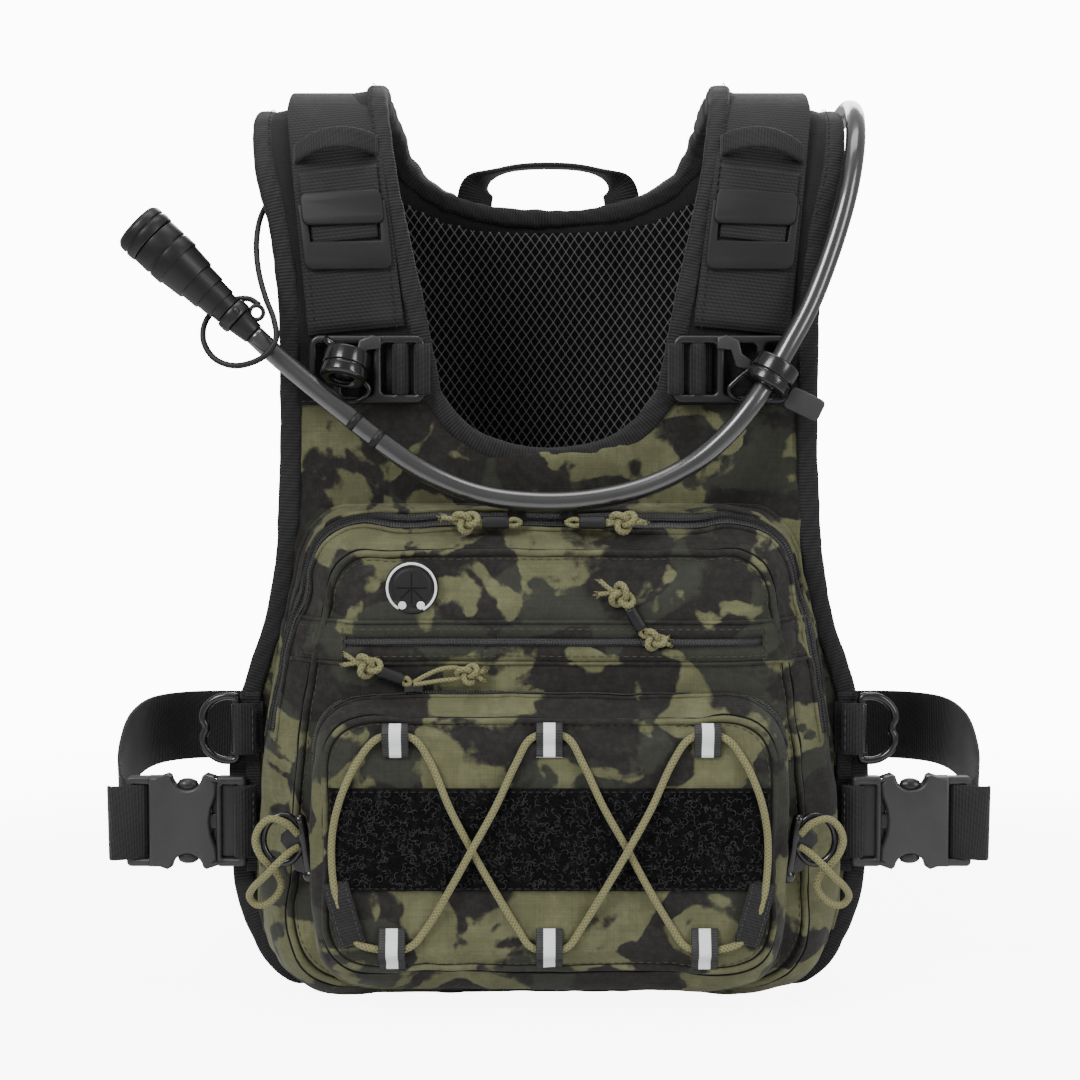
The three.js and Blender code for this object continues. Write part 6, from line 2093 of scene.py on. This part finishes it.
def make_side_straps():
    for side, k in SIDES:
        path = smooth_line(on_side(STRAP_ROUTE, k), 1.6)
        strap = sweep(f"{side}_strap_web", path, tape_profile(38, 1.7), STRAP_WEB, None,
                      frames_up(path), flat=True)
        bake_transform(strap)
        tag(strap, "webbing", f"{side}_side_strap")
        patch = band(f"{side}_strap_root", on_side([(x, 94.9, 113.8) for x in (121, 127, 133, 139)],
                                                   k), (0, 0, 1), 39.5, 1.4, STRAP_WEB)
        for dx in (123, 137):
            stitches(f"{side}_strap_root_stitch_{dx}", [(k * dx, 95.9, z) for z in
                                                        np.arange(96, 132, 1.0)], (0, 1, 0),
                     THREAD_GREY, radius=0.3)


def frames_up(path):
    """Normals of a strap whose width stays upright."""
    t = np.gradient(np.array(path, float), axis=0)
    return np.cross(np.repeat([[0.0, 0.0, 1.0]], len(t), 0), t)


make_buckles()
make_rings()
make_hooks()
make_side_straps()


# ------------------------------------------------------------------ back pocket and handle
def make_back():
    low, high, half, base, deep = 8.0, 374.0, 98.0, 92.6, 19.0
    nx, nz = 64, 110

    def height(x, z):
        sx = max(0.0, 1 - abs(x / half) ** 16) ** 0.5
        low_share = min(1.0, (z - low) / 26)
        sz = math.sqrt(max(0.0, 1 - (1 - low_share) ** 2.4))
        n = noise.noise(Vector((x / 42, 5.0, z / 42))) * 1.1 + noise.noise(
            Vector((x / 15, 9.0, z / 15))) * 0.45
        rise = sx * sz
        return max(0.35, rise * min(deep, deep - 0.6 + 0.6 * n))

    verts, faces = [], []
    for skin in (0, 1):
        for j in range(nz + 1):
            z = low + (high - low) * (j / nz)
            round_low = max(0.0, 1 - (z - low) / 22)
            wide = half - 22 * (1 - math.sqrt(max(0.0, 1 - round_low ** 2)))
            for i in range(nx + 1):
                s = math.sin((2 * i / nx - 1) * math.pi / 2)
                x = wide * s
                h = height(s * half, z)
                if skin:
                    h = max(0.15, h - 1.6)
                    x *= 0.985
                verts.append((x, base + h, z))
    row = nx + 1
    size = row * (nz + 1)
    for skin in (0, 1):
        for j in range(nz):
            for i in range(nx):
                a = skin * size + j * row + i
                faces.append((a, a + 1, a + row + 1, a + row))
    rim = ([i for i in range(nx)] + [j * row + nx for j in range(nz)]
           + [nz * row + i for i in range(nx, 0, -1)] + [j * row for j in range(nz, 0, -1)])
    for i, a in enumerate(rim):
        b = rim[(i + 1) % len(rim)]
        faces.append((a, b, size + b, size + a))
    skin = piece("back_pocket_cloth", verts, faces, CAMO)
    tag(skin, "camo_fabric", "back_pocket")
    edge = [(-half + 0.6, base + 0.9, high - 2)] + [
        (-half + 0.6, base + 0.9, z) for z in np.arange(high - 20, low + 24, -18)]
    edge += [(-half + 6, base + 0.9, low + 7), (-half + 20, base + 0.9, low + 0.8)]
    edge += [(x, base + 0.9, low + 0.4) for x in range(-70, 71, 20)]
    line = edge + [(-p[0], p[1], p[2]) for p in reversed(edge[:-8])]
    tape = tube("back_pocket_piping", smooth_line(line, 2.5), 1.5, BINDING, sides=10)
    mouth = [(x, base + height(x, high) - 0.7, high - 6.0) for x in np.linspace(-95, 95, 60)]
    hem = band("back_pocket_hem", mouth, (0, 0, 1), 15.0, 2.6, WEBBING)
    # grab handle
    y = 94.7
    route = [(-41, y, 380), (-41, y, 396), (-40.5, y, 409), (-37, y + 1.5, 418.0),
             (-24, y + 2, 424.2), (0, y + 2, 426.4), (24, y + 2, 424.2), (37, y + 1.5, 418.0),
             (40.5, y, 409), (41, y, 396), (41, y, 380)]
    across = [(1, 0, 0), (1, 0, 0), (1, 0.1, 0), (0.6, 0.8, 0), (0, 1, 0), (0, 1, 0), (0, 1, 0),
              (-0.6, 0.8, 0), (-1, 0.1, 0), (-1, 0, 0), (-1, 0, 0)]
    handle = band("grab_handle_web", route, across, 20, 2.6, STRAP_WEB, step=1.6)
    tag(handle, "webbing", "grab_handle")
    for x in (-41, 41):
        for z in (384, 392):
            stitches(f"handle_stitch_{x}_{z}", [(x + d, y + 1.7, z) for d in
                                                np.arange(-8, 8.5, 1.0)], (0, 1, 0), THREAD_GREY,
                     radius=0.3)


make_back()


# ------------------------------------------------------------------ finish
def plain_slots():
    """Materials for the CAD pieces that stay as they are."""
    looks = {"hard_plastic": PLASTIC_DARK, "gloss_plastic": GLOSS, "rubber": RUBBER,
             "zip_slider": PLASTIC_DARK, "webbing": STRAP_WEB, "cord": CORD, "hose": HOSE,
             "bladder_film": FILM, "camo_fabric": CAMO, "black_fabric": CLOTH,
             "mesh_lining": MESH, "padded_mesh": CLOTH_FINE, "loop_fabric": LOOPS,
             "zip_tape": ZIP}
    slots = {s["node"]: s["material_slot"] for s in frame["record"]["subparts"]}
    for node, ob in frame["nodes"].items():
        ob.data.materials.clear()
        ob.data.materials.append(looks[slots[node]])


plain_slots()
